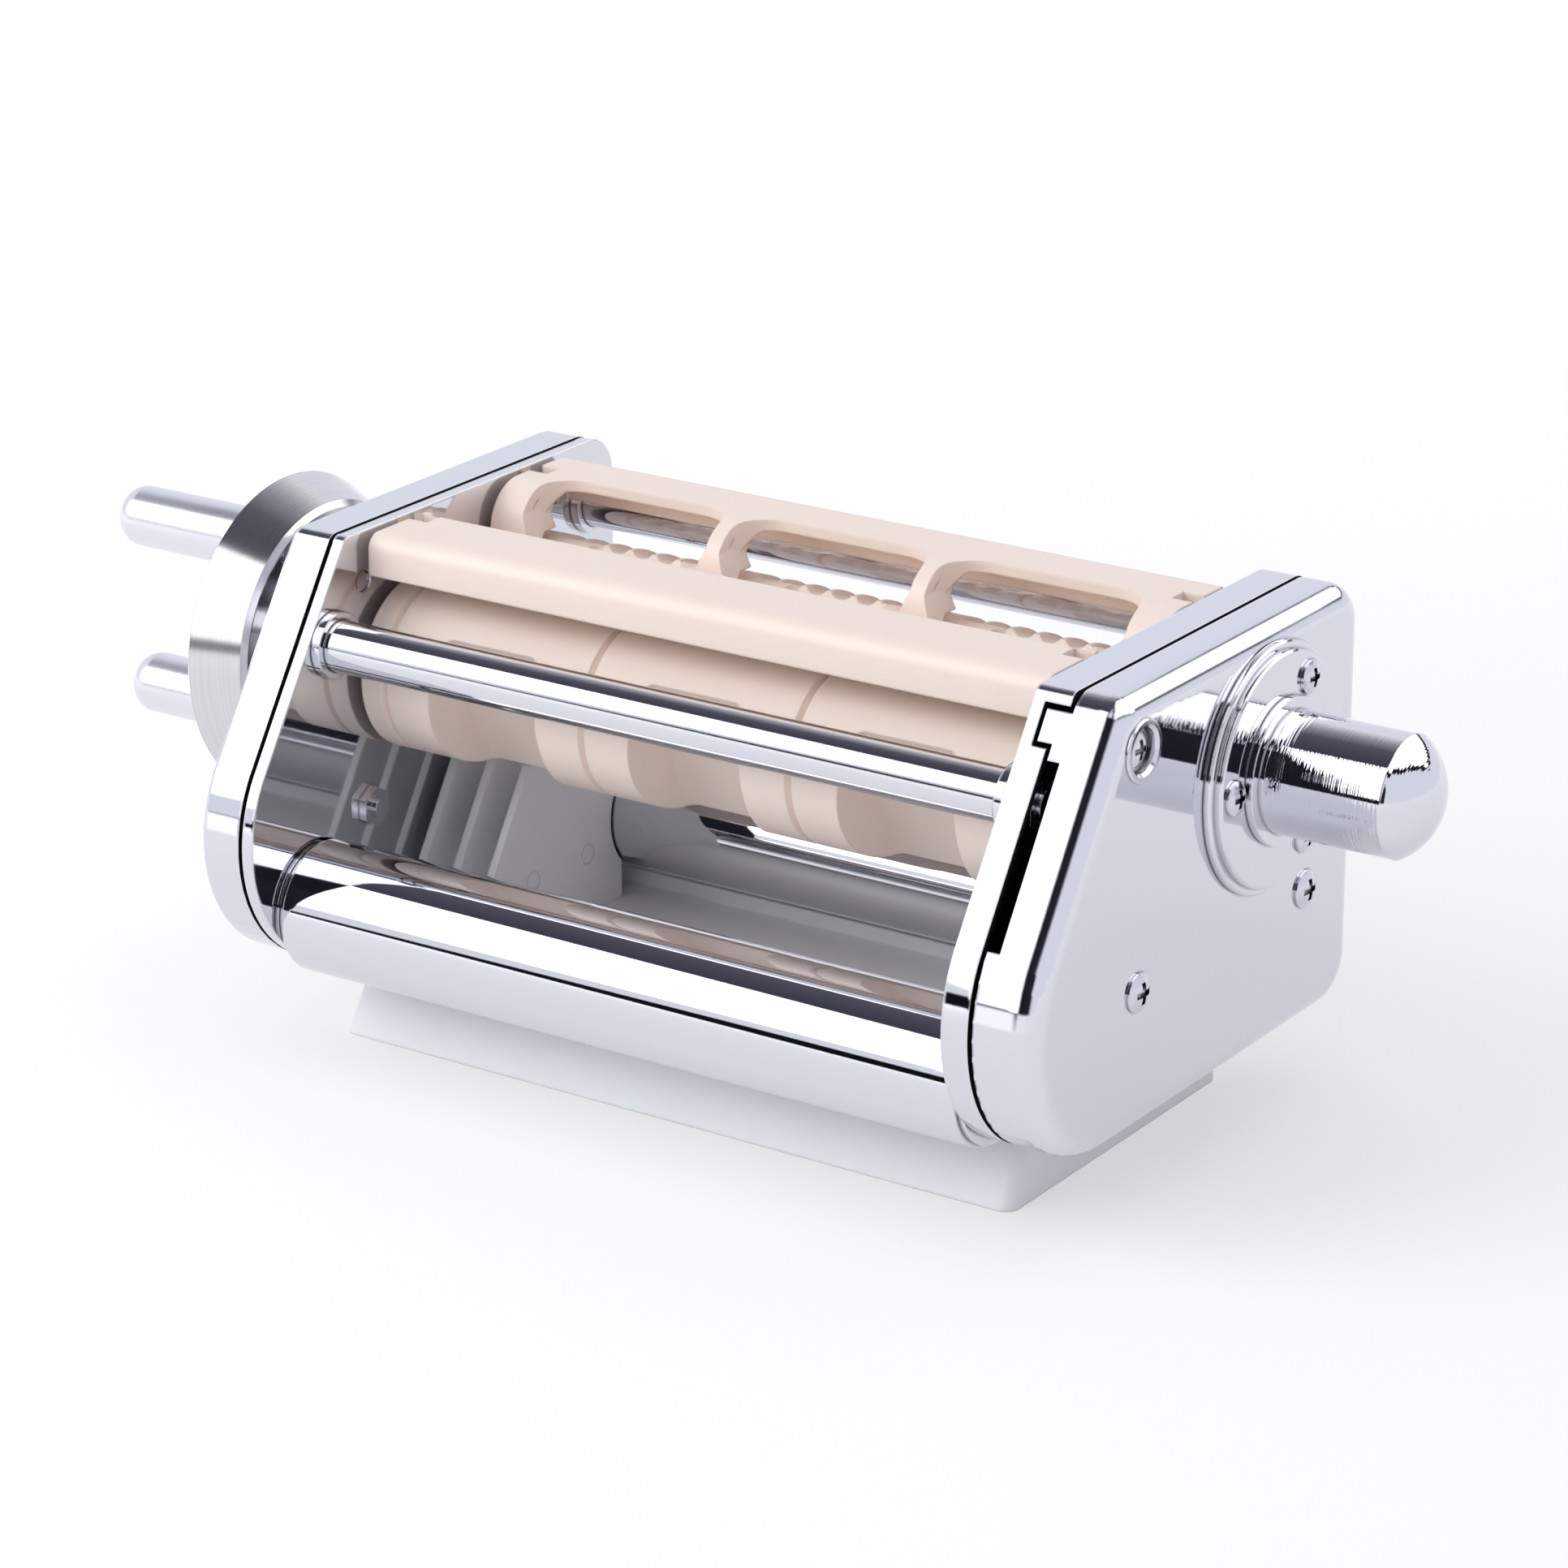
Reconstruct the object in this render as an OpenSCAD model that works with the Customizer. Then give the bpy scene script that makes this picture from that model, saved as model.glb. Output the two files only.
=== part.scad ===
// Three-row ravioli maker attachment with a hand crank.
// X runs along the rollers: the crank is at the -X end and the hub plug at the +X end.
// Y runs from front to back, and Z goes up from the surface that the base stands on.
// The origin is under the middle of the roller nip.

/* [Side housings] */
// Distance between the inner faces of the two side frames
inner_w = 152; // [148:1:160]
// Height of the side frames' top edge above the table
housing_top = 98.2; // [96:0.2:104]
// Thickness of the pressed steel sheet
sheet_t = 1.2; // [0.8:0.1:1.5]
// Depth of the left frame's turned flange
left_frame_depth = 2.4; // [2:0.1:3]
// Depth of the left cover
left_cover_depth = 9.4; // [9:0.1:12]
// Depth of the right frame's turned flange along its top
right_frame_depth = 7.5; // [7:0.1:8]
// Depth of the right frame's flange round its front, foot and rear
right_lip_depth = 5.4; // [5:0.1:6]
// Depth of the right cover along its top
right_cover_depth = 9.8; // [9.4:0.1:12]
// Gap between a frame's flange and its cover
seam_gap = 0.9; // [0.5:0.1:1.2]
// Width of the open slot in the right cover's front seam
slot_w = 3.4; // [2.4:0.1:4]
// Radius of the left cover's rounded rim
left_rim_r = 1.8; // [1.6:0.1:4]
// Radius of the right cover's rounded rim
right_rim_r = 5; // [4:0.25:5.5]

/* [Side outline] */
// Radius of the big lower front curve
belly_r = 27.5; // [25:0.5:28]
// Radius of the top front corner
nose_r = 2.2; // [1.8:0.1:3]
// Radius of the top rear corner
top_rear_r = 8; // [6.5:0.5:10]
// Radius of the lower rear corner
low_rear_r = 10; // [8:0.5:12]
// Depth from the top front corner back to the nip
front_reach = 35.4; // [34:0.2:38]
// Depth from the nip back to the rear edge
rear_reach = 50; // [48:0.5:54]
// How far the belly stands in front of the nip, to its centre
belly_reach = 38.4; // [37:0.2:41]

/* [Rollers] */
// Distance between the two roller axes
axis_gap = 34.2; // [33.6:0.1:34.8]
// Height of the housings' top above the roller axes
axis_drop = 28.8; // [28.2:0.2:29.6]
// Gap between the two rollers at the nip
nip_gap = 0.3; // [0.2:0.1:0.8]
// Number of ravioli rows side by side
rows = 3; // [2:1:3]
// Width of the plain rim at each end of a roller
end_rim_w = 5.3; // [4:0.1:6]
// Width of a pocket along the roller, at the surface
pocket_w = 25.4; // [24:0.2:28]
// Width of a pocket's floor along the roller
pocket_floor_w = 21.6; // [18:0.4:23]
// Distance of a pocket's flat floor from the roller's axis
pocket_floor_r = 6.6; // [6.4:0.2:9]
// Rounding between a pocket's floor and its walls
pocket_fillet = 2; // [1:0.25:3]
// Depth of the parting groove round each row
groove_d = 1.2; // [0.6:0.1:1.5]
// Width of the parting groove at the surface
groove_w = 1.4; // [0.8:0.1:2]
// Angle between the horizontal and the line through the front roller's two pockets, at rest
pocket_tilt = 27; // [20:1:34]
// Distance between two crimping scallops
crimp_pitch = 5.6; // [4.6:0.1:6]
// Depth of a crimping scallop
crimp_d = 1.2; // [0.6:0.1:1.6]

/* [Shafts and gears] */
// Diameter of the roller shafts
shaft_d = 10; // [9:0.5:11]
// Depth of the flat on the shafts' ends
shaft_flat = 1.2; // [0.8:0.1:1.6]
// Number of teeth on each gear
teeth = 18; // [16:1:20]
// Width of the gears
gear_w = 7; // [5:0.5:7.5]
// Diameter of a bush's barrel
bush_d = 14; // [13.5:0.5:15]
// Diameter of a bush's flange
bush_flange_d = 20; // [18:0.5:24]

/* [Crank] */
// Outer diameter of the crank wheel
wheel_d = 63; // [60:0.5:64]
// Diameter of the crank wheel at its inner edge
wheel_inner_d = 55; // [52:0.5:56]
// Width of the crank wheel's rim
wheel_w = 10; // [9:0.5:12]
// Gap between the left cover and the crank wheel
wheel_gap = 6.6; // [4:0.2:8]
// Thickness of the crank wheel's web and rim
wheel_t = 2.6; // [2:0.1:3.4]
// Diameter of the two finger pegs
peg_d = 12; // [10:0.25:13]
// Length of the finger pegs
peg_len = 39; // [30:0.5:42]
// Distance of the pegs from the crank's axis
peg_reach = 17.6; // [16:0.2:19]
// Angle of the upper peg in front of the vertical, at rest
peg_tilt = 3; // [0:1:20]

/* [Hub plug] */
// Diameter of the plug that fits a mixer's socket
plug_d = 23; // [20:0.5:25]
// Length of the plug beyond its collar
plug_len = 31.6; // [29:0.2:38]
// Length of the plug's domed nose
dome_len = 6.3; // [5:0.1:10]
// Diameter of the collar round the plug's foot
plug_collar_d = 27.6; // [26:0.2:29]
// Diameter of the outer flange disc
flange_d = 44; // [42:0.5:46]
// Diameter of the inner flange disc
flange_back_d = 47; // [46.5:0.5:49]
// Thickness of each flange disc
flange_t = 1.5; // [1:0.1:2]
// Distance of the plug's axis behind the nip
plug_y = 14.6; // [12:0.2:16]
// Height of the housings' top above the plug's axis
plug_drop = 26.5; // [25.2:0.1:28.2]
// Radius of the circle of the flange screws
flange_screw_r = 17.6; // [17:0.1:18.4]

/* [Rods and tubes] */
// Diameter of the two tie rods
rod_d = 10.1; // [8:0.1:11]
// Distance of the front tie rod in front of the nip
front_rod_y = 40.3; // [39.5:0.1:41]
// Height of the housings' top above the front tie rod
front_rod_drop = 19.7; // [19.2:0.1:20.7]
// Distance of the rear tie rod in front of the housings' rear edge
rear_rod_inset = 8; // [7.5:0.1:9]
// Height of the housings' top above the rear tie rod
rear_rod_drop = 12.3; // [11.2:0.1:13.2]
// Diameter of the collar at each end of a tie rod
collar_d = 13; // [12:0.5:14]
// Diameter of the two lower tubes
tube_d = 25.6; // [22:0.2:26]
// Wall of the lower tubes
tube_t = 1.5; // [1:0.1:2]
// Distance of the front tube in front of the nip
front_tube_y = 46.6; // [45.6:0.2:47]
// Distance of the rear tube behind the nip
rear_tube_y = 33; // [32:0.2:34]
// Gap between the tray's top edge and the tubes
tube_lift = 0.6; // [0.4:0.1:1]

/* [Base tray] */
// Height of the base tray's walls
tray_h = 14.8; // [13:0.2:15.4]
// Distance of the tray's front edge in front of the nip
tray_front = 41.4; // [40:0.2:43]
// Distance of the tray's rear edge behind the nip
tray_rear = 33.6; // [31:0.2:35]
// Height of the tray's floor above the table
tray_floor = 11.6; // [10:0.2:12]
// Thickness of the tray's walls
tray_t = 2.4; // [2:0.1:3]
// Radius of the tray's corners in plan
tray_corner_r = 3; // [2:0.25:5]
// How far the front wall leans back from foot to top
tray_front_lean = 9.6; // [6:0.2:11]
// How far each other wall leans in from foot to top
tray_draft = 0.8; // [0.4:0.1:1]
// Height of the roller axes above the guide fins' crest
fin_drop = 21.4; // [19.4:0.5:25.4]
// Distance of the guide fins' front edge in front of the nip
fin_front = 18.8; // [17:0.2:22]
// Distance of the guide fins' rear edge behind the nip
fin_rear = 23.4; // [21:0.2:25]
// Thickness of a guide fin
fin_t = 1.8; // [1.4:0.1:2.4]
// Distance between neighbouring guide fins
fin_pitch = 8.3; // [7:0.1:9]

/* [Hopper] */
// Thickness of the hopper's walls
hopper_t = 2.2; // [1.8:0.1:2.6]
// Gap between the hopper and each side frame
hopper_side_gap = 1.4; // [1:0.1:2]
// Height of the hopper's top face below the housings' top
hopper_drop = 0.6; // [0.2:0.1:2]
// Distance of the front bar's face in front of the nip
bar_front = 30.4; // [29:0.2:31]
// Distance of the front bar's rear edge in front of the nip
bar_rear = 12.6; // [11.6:0.2:13.4]
// Height of the front bar's face
bar_h = 8; // [7:0.2:8.4]
// Radius of the rounded ramp behind the trough
ramp_r = 9; // [7:0.5:10]
// Distance of the ramp's lower edge behind the nip
ramp_y = 7.6; // [7:0.2:8.6]
// Distance of the hopper's rear edge behind the nip
hopper_rear = 32.6; // [31:0.2:34]
// Length of each filling opening along the rollers, at the top
mouth_w = 42.6; // [40:0.2:43]
// Length of each filling opening at its foot
mouth_foot_w = 35; // [33:0.2:38]
// Distance of the openings' rear edge behind the nip
mouth_rear = 20.4; // [19:0.2:22]
// Radius of the openings' corners
mouth_r = 8; // [5:0.5:9]
// Width of the slot that feeds the nip
feed_w = 6.4; // [5:0.2:7]
// Height of the hopper's nose above the roller axes
nose_lift = 13; // [12.6:0.1:14]

/* [Fasteners] */
// Diameter of the cover screws' heads
screw_head_d = 7.4; // [6.4:0.2:8]
// Diameter of the cover screws' threads
screw_d = 4; // [3.4:0.2:4]
// Height of the screw heads
screw_head_h = 1.6; // [1.2:0.1:2]
// Diameter of the dished cup under the top front screw
cup_d = 11.6; // [11:0.2:13]
// Diameter of the pins that carry the hopper
pin_d = 3.6; // [3:0.1:4]

/* [Hidden] */
$fn = 96;

// One overrun for every cut
over = 1;
// Radial clearance of a turning or sliding fit
run_fit = 0.06;
// Radial clearance of a fixed fit
fix_fit = 0.02;
// Clearance between two pieces that must not touch
free_gap = 0.4;
// How far a belt's straights lie inside its circles, so that they cross cleanly
belt_sink = 0.02;
quarter_turn = 90;
// Facets of the rounded pressed rims
rim_fn = 48;
// Facets of the small cutters that carry no fit
cutter_fn = 32;

// Places across the part, and the height of the roller axes
half_w = inner_w / 2;
left_cover_edge = -(half_w + left_frame_depth + seam_gap);
left_face = left_cover_edge - left_cover_depth;
right_cover_edge = half_w + right_frame_depth + seam_gap;
right_face = right_cover_edge + right_cover_depth;
axis_z = housing_top - axis_drop;

// Lower tubes and their end plugs
tube_r = tube_d / 2;
tube_z = tray_h + tube_lift + tube_r;
housing_bottom = tray_h + tube_lift + free_gap;
front_tube = [-front_tube_y, tube_z];
rear_tube = [rear_tube_y, tube_z];
tube_places = [front_tube, rear_tube];
plug_lip_t = 1.2;
plug_lip_step = 0.8;
plug_wall_len = 12;
tube_len = inner_w - 2 * plug_lip_t;
tube_screw_d = 5;
tube_screw_head_d = 9;
tube_screw_head_h = 2.4;
tube_screw_len = sheet_t + plug_wall_len - plug_lip_t;

// Tie rods, their collars and nuts
front_rod = [-front_rod_y, housing_top - front_rod_drop];
rear_rod = [rear_reach - rear_rod_inset, housing_top - rear_rod_drop];
rod_places = [front_rod, rear_rod];
rod_neck_d = 6;
rod_neck_r = rod_neck_d / 2;
collar_w = 2;
nut_h = 3.4;
nut_across = 9;
rod_tip = 1;
rod_neck_len = sheet_t + nut_h + rod_tip;

// Circles that a belt round the side outline touches, as [depth, height, radius]
function outline(corner_r) = [
    [-front_reach + corner_r / 2, housing_top - corner_r, corner_r],
    [-belly_reach, housing_bottom + belly_r, belly_r],
    [rear_reach - low_rear_r, housing_bottom + low_rear_r, low_rear_r],
    [rear_reach - top_rear_r, housing_top - top_rear_r, top_rear_r]];
frame_outline = outline(nose_r);
left_cover_outline = outline(left_rim_r + sheet_t);
right_cover_outline = outline(right_rim_r + sheet_t);

// Notch at the top front of the right frame's flange, and the tab and slot of the right cover there
notch_drop = 9;
notch_lip = 2.4;
tab_edge = half_w + notch_lip + seam_gap;
lip_edge = half_w + right_lip_depth + seam_gap;
tab_foot = housing_top - notch_drop + seam_gap;
slot_drop = 10.6;
slot_len = 29;
slot_top = housing_top - slot_drop;
slot_foot = slot_top - slot_len;

// Bounds beyond the side outline, for cuts, and the heights where the seam steps
front_end = -belly_reach - belly_r - over;
rear_end = rear_reach + over;
low_end = housing_bottom - over;
high_end = housing_top + over;
top_step = housing_top - nose_r - seam_gap;
rear_step = housing_top - top_rear_r - seam_gap;

// Edge of the right cover round the seam, as [front, foot, rear, top, edge]
seam_steps = [[front_end, low_end, rear_end, slot_foot, lip_edge],
    [front_end, slot_foot, 0, slot_top, lip_edge - seam_gap + slot_w],
    [front_end, slot_top, 0, tab_foot, lip_edge],
    [front_end, top_step, 0, high_end, right_cover_edge],
    [0, slot_foot, rear_end, rear_step, lip_edge],
    [0, rear_step, rear_end, high_end, right_cover_edge]];

// Screws: shares of a head's diameter for the width and length of its cross recess, and for its crown
cross_shares = [0.16, 0.56];
crown_share = 0.9;
screw_tip = 3;
short_tip = 0.4;
hub_screw_head_d = 6.4;

// Cover screws, the first of them in the dished cup
screw_inset = 5;
screw_drop = 10;
rear_screw_inset = 20;
screw_places = [[-front_reach + screw_inset, housing_top - screw_drop],
    [-front_reach + screw_inset, housing_bottom + belly_r],
    [rear_reach - rear_screw_inset, housing_bottom + belly_r]];
cup_depth = 1.8;
cup_t = 0.6;
cup_lip = 1.1;
cup_barrel_r = cup_d / 2 - cup_lip;
cup_head_d = 6.6;
cup_head_h = 1.1;
post_d = 7;
lock_nut_h = 1.8;
lock_nut_across = 7;

// Hopper
hopper_half = half_w - hopper_side_gap;
hopper_z = housing_top - hopper_drop;
bar_foot = hopper_z - bar_h;
hopper_nose_z = axis_z + nose_lift;
bar_edge_r = 3;
small_edge = 1.2;
ramp_centre = [ramp_y + ramp_r, hopper_z - ramp_r];
nose_wall = 1.4;
nose_half = feed_w / 2 + nose_wall;
nose_h = 1.8;
nose_shoulder_z = hopper_nose_z + nose_h;
trough_t = 3.4;
trough_z = nose_shoulder_z + trough_t;
trough_rise = 3;
divider_t = 2.4;
funnel_drop = 3.6;
pin_front = 22;
pin_rear = 26;
pin_places = [[-pin_front, bar_foot + pin_d / 2], [pin_rear, bar_foot + pin_d / 2]];
pin_len = 5;
pin_head_h = 1;
notch_fronts = [-17.8, 20.6];
notch_w = 4.2;
notch_d = 3;
notch_len = 4.4;

// Base tray
tray_gap = 0.35;
tray_inner_r = 1;
rib_t = 1.6;
rib_pitches = [25, 17.5];
rib_spans = [2, 1];
tray_screw_places = [[-6, 24], [12, 24]];
tray_screw_len = 10;
boss_r = 4.4;
first_fin = 3;
fin_count = 3;
fin_foot = tray_floor - tray_t / 2;
fin_h = axis_z - fin_drop - fin_foot;
boss_len = first_fin + (fin_count - 1) * fin_pitch;
// Outline of a guide fin, as shares of its depth and of its height
fin_shares = [[0, 0], [0, 0.48], [0.29, 1], [0.54, 1], [0.92, 0.67], [1, 0.6], [1, 0]];

// Rollers, shafts and bushes
shaft_r = shaft_d / 2;
roller_r = (axis_gap - nip_gap) / 2;
front_axis = [-axis_gap / 2, axis_z];
rear_axis = [axis_gap / 2, axis_z];
roller_side_gap = 1.7;
roller_len = inner_w - 2 * roller_side_gap;
row_pitch = (roller_len - 2 * end_rim_w) / rows;
crimp_share = 0.48;
crimp_r = crimp_pitch * crimp_share;
crimp_margin = 4;
crimp_count = floor((row_pitch - crimp_margin) / crimp_pitch);
bush_tail = 0.6;
bush_gap = 0.5;
bush_flange_t = roller_side_gap - bush_gap;

// Gears, in mesh at rest, and the clips that hold them
gear_gap = 1;
gear_x = half_w + sheet_t + gear_gap;
gear_boss_t = 3.4;
gear_boss_r = shaft_r + gear_boss_t;
gear_boss_step = 0.6;
pressure_angle = 20;
gear_module = axis_gap / teeth;
pitch_r = axis_gap / 2;
backlash = 0.24;
base_r = pitch_r * cos(pressure_angle);
tip_share = 0.92;
root_share = 1.25;
tip_r = pitch_r + gear_module * tip_share;
root_r = pitch_r - gear_module * root_share;
flank_steps = 5;
clip_t = 0.9;
clip_groove_w = 1.1;
clip_groove_d = 1;
clip_ring = 2.2;
clip_mouth_share = 0.6;
shaft_tip = 1.3;
gear_end = gear_x + gear_w + clip_groove_w + shaft_tip;

// Crank wheel
wheel_hub_r = 9;
wheel_x = left_face - wheel_gap;
wheel_face = wheel_x - wheel_w;
shaft_left_end = wheel_face + wheel_t;
hub_end = -half_w - sheet_t - bush_tail - free_gap;
edge_break = 0.8;
peg_neck_r = 4;
peg_end_r = 4.6;
rivet_tail = 0.6;
crank_screw_d = 5;
crank_screw_head_d = 10;
crank_screw_head_h = 2.2;
crank_screw_len = 12;
shaft_bore_len = 11;

// Hub plug
plug_axis = [plug_y, housing_top - plug_drop];
plug_neck_r = 8;
flange_edge = 0.4;
hub_screw_angles = [60, 180, 300];
hub_screw_tip = 1;

function unit(a) = [cos(a), sin(a)];

// Direction from a circle's centre to the point where a belt to the next circle leaves it
function leave_angle(a, b) = let (d = [b[0] - a[0], b[1] - a[1]])
    atan2(d[1], d[0]) - quarter_turn + asin((a[2] - b[2]) / norm(d));

function belt_points(loop, grow) = [for (i = [0 : len(loop) - 1])
    let (a = loop[i], b = loop[(i + 1) % len(loop)], u = unit(leave_angle(a, b)))
        each [[a[0], a[1]] + (a[2] + grow) * u, [b[0], b[1]] + (b[2] + grow) * u]];

// Flat shape inside a belt that runs round the circles of a loop
module belt(loop, grow) {
    polygon(belt_points(loop, grow - belt_sink));
    for (c = loop)
        translate([c[0], c[1]])
            circle(c[2] + grow);
}

// Closed block with the belt's outline and one rounded edge, on its far side
module rounded_block(loop, depth, edge_r, grow) {
    hull()
        for (c = loop)
            translate([c[0], c[1], 0])
                rotate_extrude($fn = rim_fn) {
                    square([c[2] + grow, depth - edge_r]);
                    square([c[2] + grow - edge_r, depth]);
                    translate([c[2] + grow - edge_r, depth - edge_r])
                        intersection() {
                            circle(edge_r, $fn = rim_fn);
                            square(edge_r);
                        }
                }
}

// Stands a shape drawn in depth and height upright, growing along +X from x
module upright(x) {
    translate([x, 0, 0])
        rotate([90, 0, 90])
            children();
}

// The same, growing along -X from x
module upright_left(x) {
    translate([x, 0, 0])
        mirror([1, 0, 0])
            rotate([90, 0, 90])
                children();
}

// Round bar along X from x to x + length, centred on a place in depth and height
module bar(place, x, length, r) {
    translate([x, place[0], place[1]])
        rotate([0, 90, 0])
            cylinder(r = r, h = length);
}

// Solid of revolution about an X line, from a profile of [x, radius] points
module turned(place, x) {
    translate([x, place[0], place[1]])
        rotate([0, 90, 0])
            rotate_extrude()
                rotate([0, 0, 90])
                    mirror([0, 1, 0])
                        children();
}

// Hexagonal bar along X
module hex_bar(place, x, length, across) {
    translate([x, place[0], place[1]])
        rotate([0, 90, 0])
            cylinder(r = across / 2 / cos(30), h = length, $fn = 6);
}

// Pan head screw with a cross recess. Its head's underside is at x, and its thread runs to the side of way.
module screw(place, x, way, thread_len, head_d, head_h, thread_d) {
    cross_w = head_d * cross_shares[0];
    cross_l = head_d * cross_shares[1];
    crown_r = head_d * crown_share;
    translate([x, place[0], place[1]])
        rotate([0, way * 90, 0])
            difference() {
                union() {
                    cylinder(r = thread_d / 2, h = thread_len);
                    rotate_extrude()
                        intersection() {
                            translate([0, -head_h])
                                square([head_d / 2, head_h]);
                            translate([0, crown_r - head_h])
                                circle(crown_r);
                        }
                }
                for (a = [0, 90])
                    rotate([0, 0, a])
                        translate([-cross_l / 2, -cross_w / 2, -head_h - over])
                            cube([cross_l, cross_w, over + head_h / 2]);
            }
}

// Shaft section with a flat, used for the bores on the shafts' driven ends
module flatted(r, flat) {
    difference() {
        circle(r);
        translate([-r - over, r - flat])
            square([2 * (r + over), flat + over]);
    }
}

// Holes that every side frame has for the pieces fixed to it
module frame_holes(x, length) {
    for (p = [front_axis, rear_axis])
        bar(p, x, length, bush_d / 2 + fix_fit);
    for (p = [each screw_places, each tray_screw_places])
        bar(p, x, length, screw_d / 2 + run_fit);
    for (p = rod_places)
        bar(p, x, length, rod_neck_r + run_fit);
    for (p = tube_places)
        bar(p, x, length, tube_screw_d / 2 + run_fit);
    for (p = pin_places)
        bar(p, x, length, pin_d / 2 + fix_fit);
}

// Shallow pressed pan: a plate with a flange turned away from the rollers
module frame_pan(depth) {
    difference() {
        linear_extrude(depth)
            belt(frame_outline, 0);
        translate([0, 0, sheet_t])
            linear_extrude(depth)
                belt(frame_outline, -sheet_t);
    }
}

module left_frame() color("lightsteelblue")
    difference() {
        upright_left(-half_w)
            frame_pan(left_frame_depth);
        frame_holes(-half_w - left_frame_depth, left_frame_depth + over);
    }

// The right frame's flange is deepest along the top and notched at the top front for the cover's tab
module right_frame() color("lightsteelblue")
    difference() {
        upright(half_w)
            difference() {
                frame_pan(right_frame_depth);
                translate([front_end, low_end, right_lip_depth])
                    cube([rear_end - front_end, housing_top - top_rear_r - low_end, right_frame_depth]);
                translate([front_end, housing_top - notch_drop, notch_lip])
                    cube([-front_reach + 2 * nose_r - front_end, notch_drop - nose_r, right_frame_depth]);
            }
        frame_holes(half_w - over, right_frame_depth + over);
    }

// Deep pressed cover with a rounded rim, open towards its frame
module cover_shell(loop, depth, edge_r) {
    difference() {
        rounded_block(loop, depth, edge_r, 0);
        translate([0, 0, -over])
            rounded_block(loop, depth + over - sheet_t, edge_r - sheet_t, -sheet_t);
    }
}

module left_cover() color("silver")
    difference() {
        upright_left(left_cover_edge)
            cover_shell(left_cover_outline, left_cover_depth, left_rim_r);
        bar(front_axis, left_face - over, left_cover_depth, wheel_hub_r + free_gap);
        for (p = screw_places)
            bar(p, left_face - over, left_cover_depth, screw_d / 2 + run_fit);
    }

// The right cover's edge follows the stepped flange of its frame, and leaves a slot open in front
module right_cover() color("silver")
    difference() {
        upright(tab_edge)
            cover_shell(right_cover_outline, right_face - tab_edge, right_rim_r);
        for (s = seam_steps)
            translate([tab_edge - over, s[0], s[1]])
                cube([s[4] - tab_edge + over, s[2] - s[0], s[3] - s[1]]);
        for (i = [1, 2])
            bar(screw_places[i], right_cover_edge, right_cover_depth + over, screw_d / 2 + run_fit);
        bar(screw_places[0], right_cover_edge, right_cover_depth + over, cup_barrel_r + fix_fit);
        for (a = hub_screw_angles)
            bar(hub_screw_place(a), right_cover_edge, right_cover_depth + over, screw_d / 2 + run_fit);
        bar(plug_axis, right_cover_edge, right_cover_depth + over, plug_neck_r + fix_fit);
    }

// Spacer post that holds a cover's plate at its distance from the frame
module post(place, x, length) {
    difference() {
        bar(place, x, length, post_d / 2);
        bar(place, x - over, length + 2 * over, screw_d / 2 + run_fit);
    }
}

module left_cover_posts() color("gray")
    for (p = screw_places)
        post(p, left_face + sheet_t, -half_w - left_face - 2 * sheet_t);

module right_cover_posts() color("gray")
    for (i = [0 : 2])
        post(screw_places[i], half_w + sheet_t, right_face - half_w - sheet_t - (i > 0 ? sheet_t : cup_depth));

// The lower front screw of each cover passes through its frame, and the others end inside it
module left_cover_screws() color("silver")
    for (i = [0 : 2])
        screw(screw_places[i], left_face, 1, -half_w - left_face + (i == 1 ? screw_tip : -short_tip),
            screw_head_d, screw_head_h, screw_d);

module right_cover_screws() color("silver") {
    cup_floor = right_face - cup_depth + cup_t;
    screw(screw_places[0], cup_floor, -1, cup_floor - half_w - short_tip, cup_head_d, cup_head_h, screw_d);
    for (i = [1, 2])
        screw(screw_places[i], right_face, -1, right_face - half_w + (i == 1 ? screw_tip : -short_tip),
            screw_head_d, screw_head_h, screw_d);
}

// Dished washer that sinks the top front screw into the right cover
module screw_cup() color("silver")
    turned(screw_places[0], right_face)
        polygon([[-cup_depth, cup_barrel_r], [0, cup_barrel_r], [0, cup_d / 2], [cup_t / 2, cup_d / 2],
            [cup_t, cup_d / 2 - cup_t / 2], [cup_t, cup_barrel_r], [0, cup_barrel_r - cup_t],
            [cup_t - cup_depth, cup_barrel_r - cup_t], [cup_t - cup_depth, screw_d / 2 + run_fit],
            [-cup_depth, screw_d / 2 + run_fit]]);

// Lock nuts on the tips of the lower front cover screws, seen on the frames' inner faces
module frame_lock_nuts() color("silver")
    for (side = [-1, 1]) {
        x = side > 0 ? half_w - lock_nut_h : -half_w;
        difference() {
            hex_bar(screw_places[1], x, lock_nut_h, lock_nut_across);
            bar(screw_places[1], x - over, lock_nut_h + 2 * over, screw_d / 2 + fix_fit);
        }
    }

// Ground and plated rod with a threaded neck at each end
module tie_rod(place) {
    bar(place, -half_w, inner_w, rod_d / 2);
    bar(place, -half_w - rod_neck_len, inner_w + 2 * rod_neck_len, rod_neck_r);
}

module front_tie_rod() color("gainsboro")
    tie_rod(front_rod);

module rear_tie_rod() color("gainsboro")
    tie_rod(rear_rod);

module tie_rod_collars() color("silver")
    for (p = rod_places, side = [-1, 1])
        difference() {
            bar(p, side > 0 ? half_w - collar_w : -half_w, collar_w, collar_d / 2);
            bar(p, -half_w - over, inner_w + 2 * over, rod_d / 2 + fix_fit);
        }

module tie_rod_nuts() color("silver")
    for (p = rod_places, side = [-1, 1]) {
        x = side > 0 ? half_w + sheet_t : -half_w - sheet_t - nut_h;
        difference() {
            hex_bar(p, x, nut_h, nut_across);
            bar(p, x - over, nut_h + 2 * over, rod_neck_r + fix_fit);
        }
    }

module lower_tube(place) {
    difference() {
        bar(place, -tube_len / 2, tube_len, tube_r);
        bar(place, -tube_len / 2 - over, tube_len + 2 * over, tube_r - tube_t);
    }
}

module front_tube() color("gainsboro")
    lower_tube(front_tube);

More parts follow.
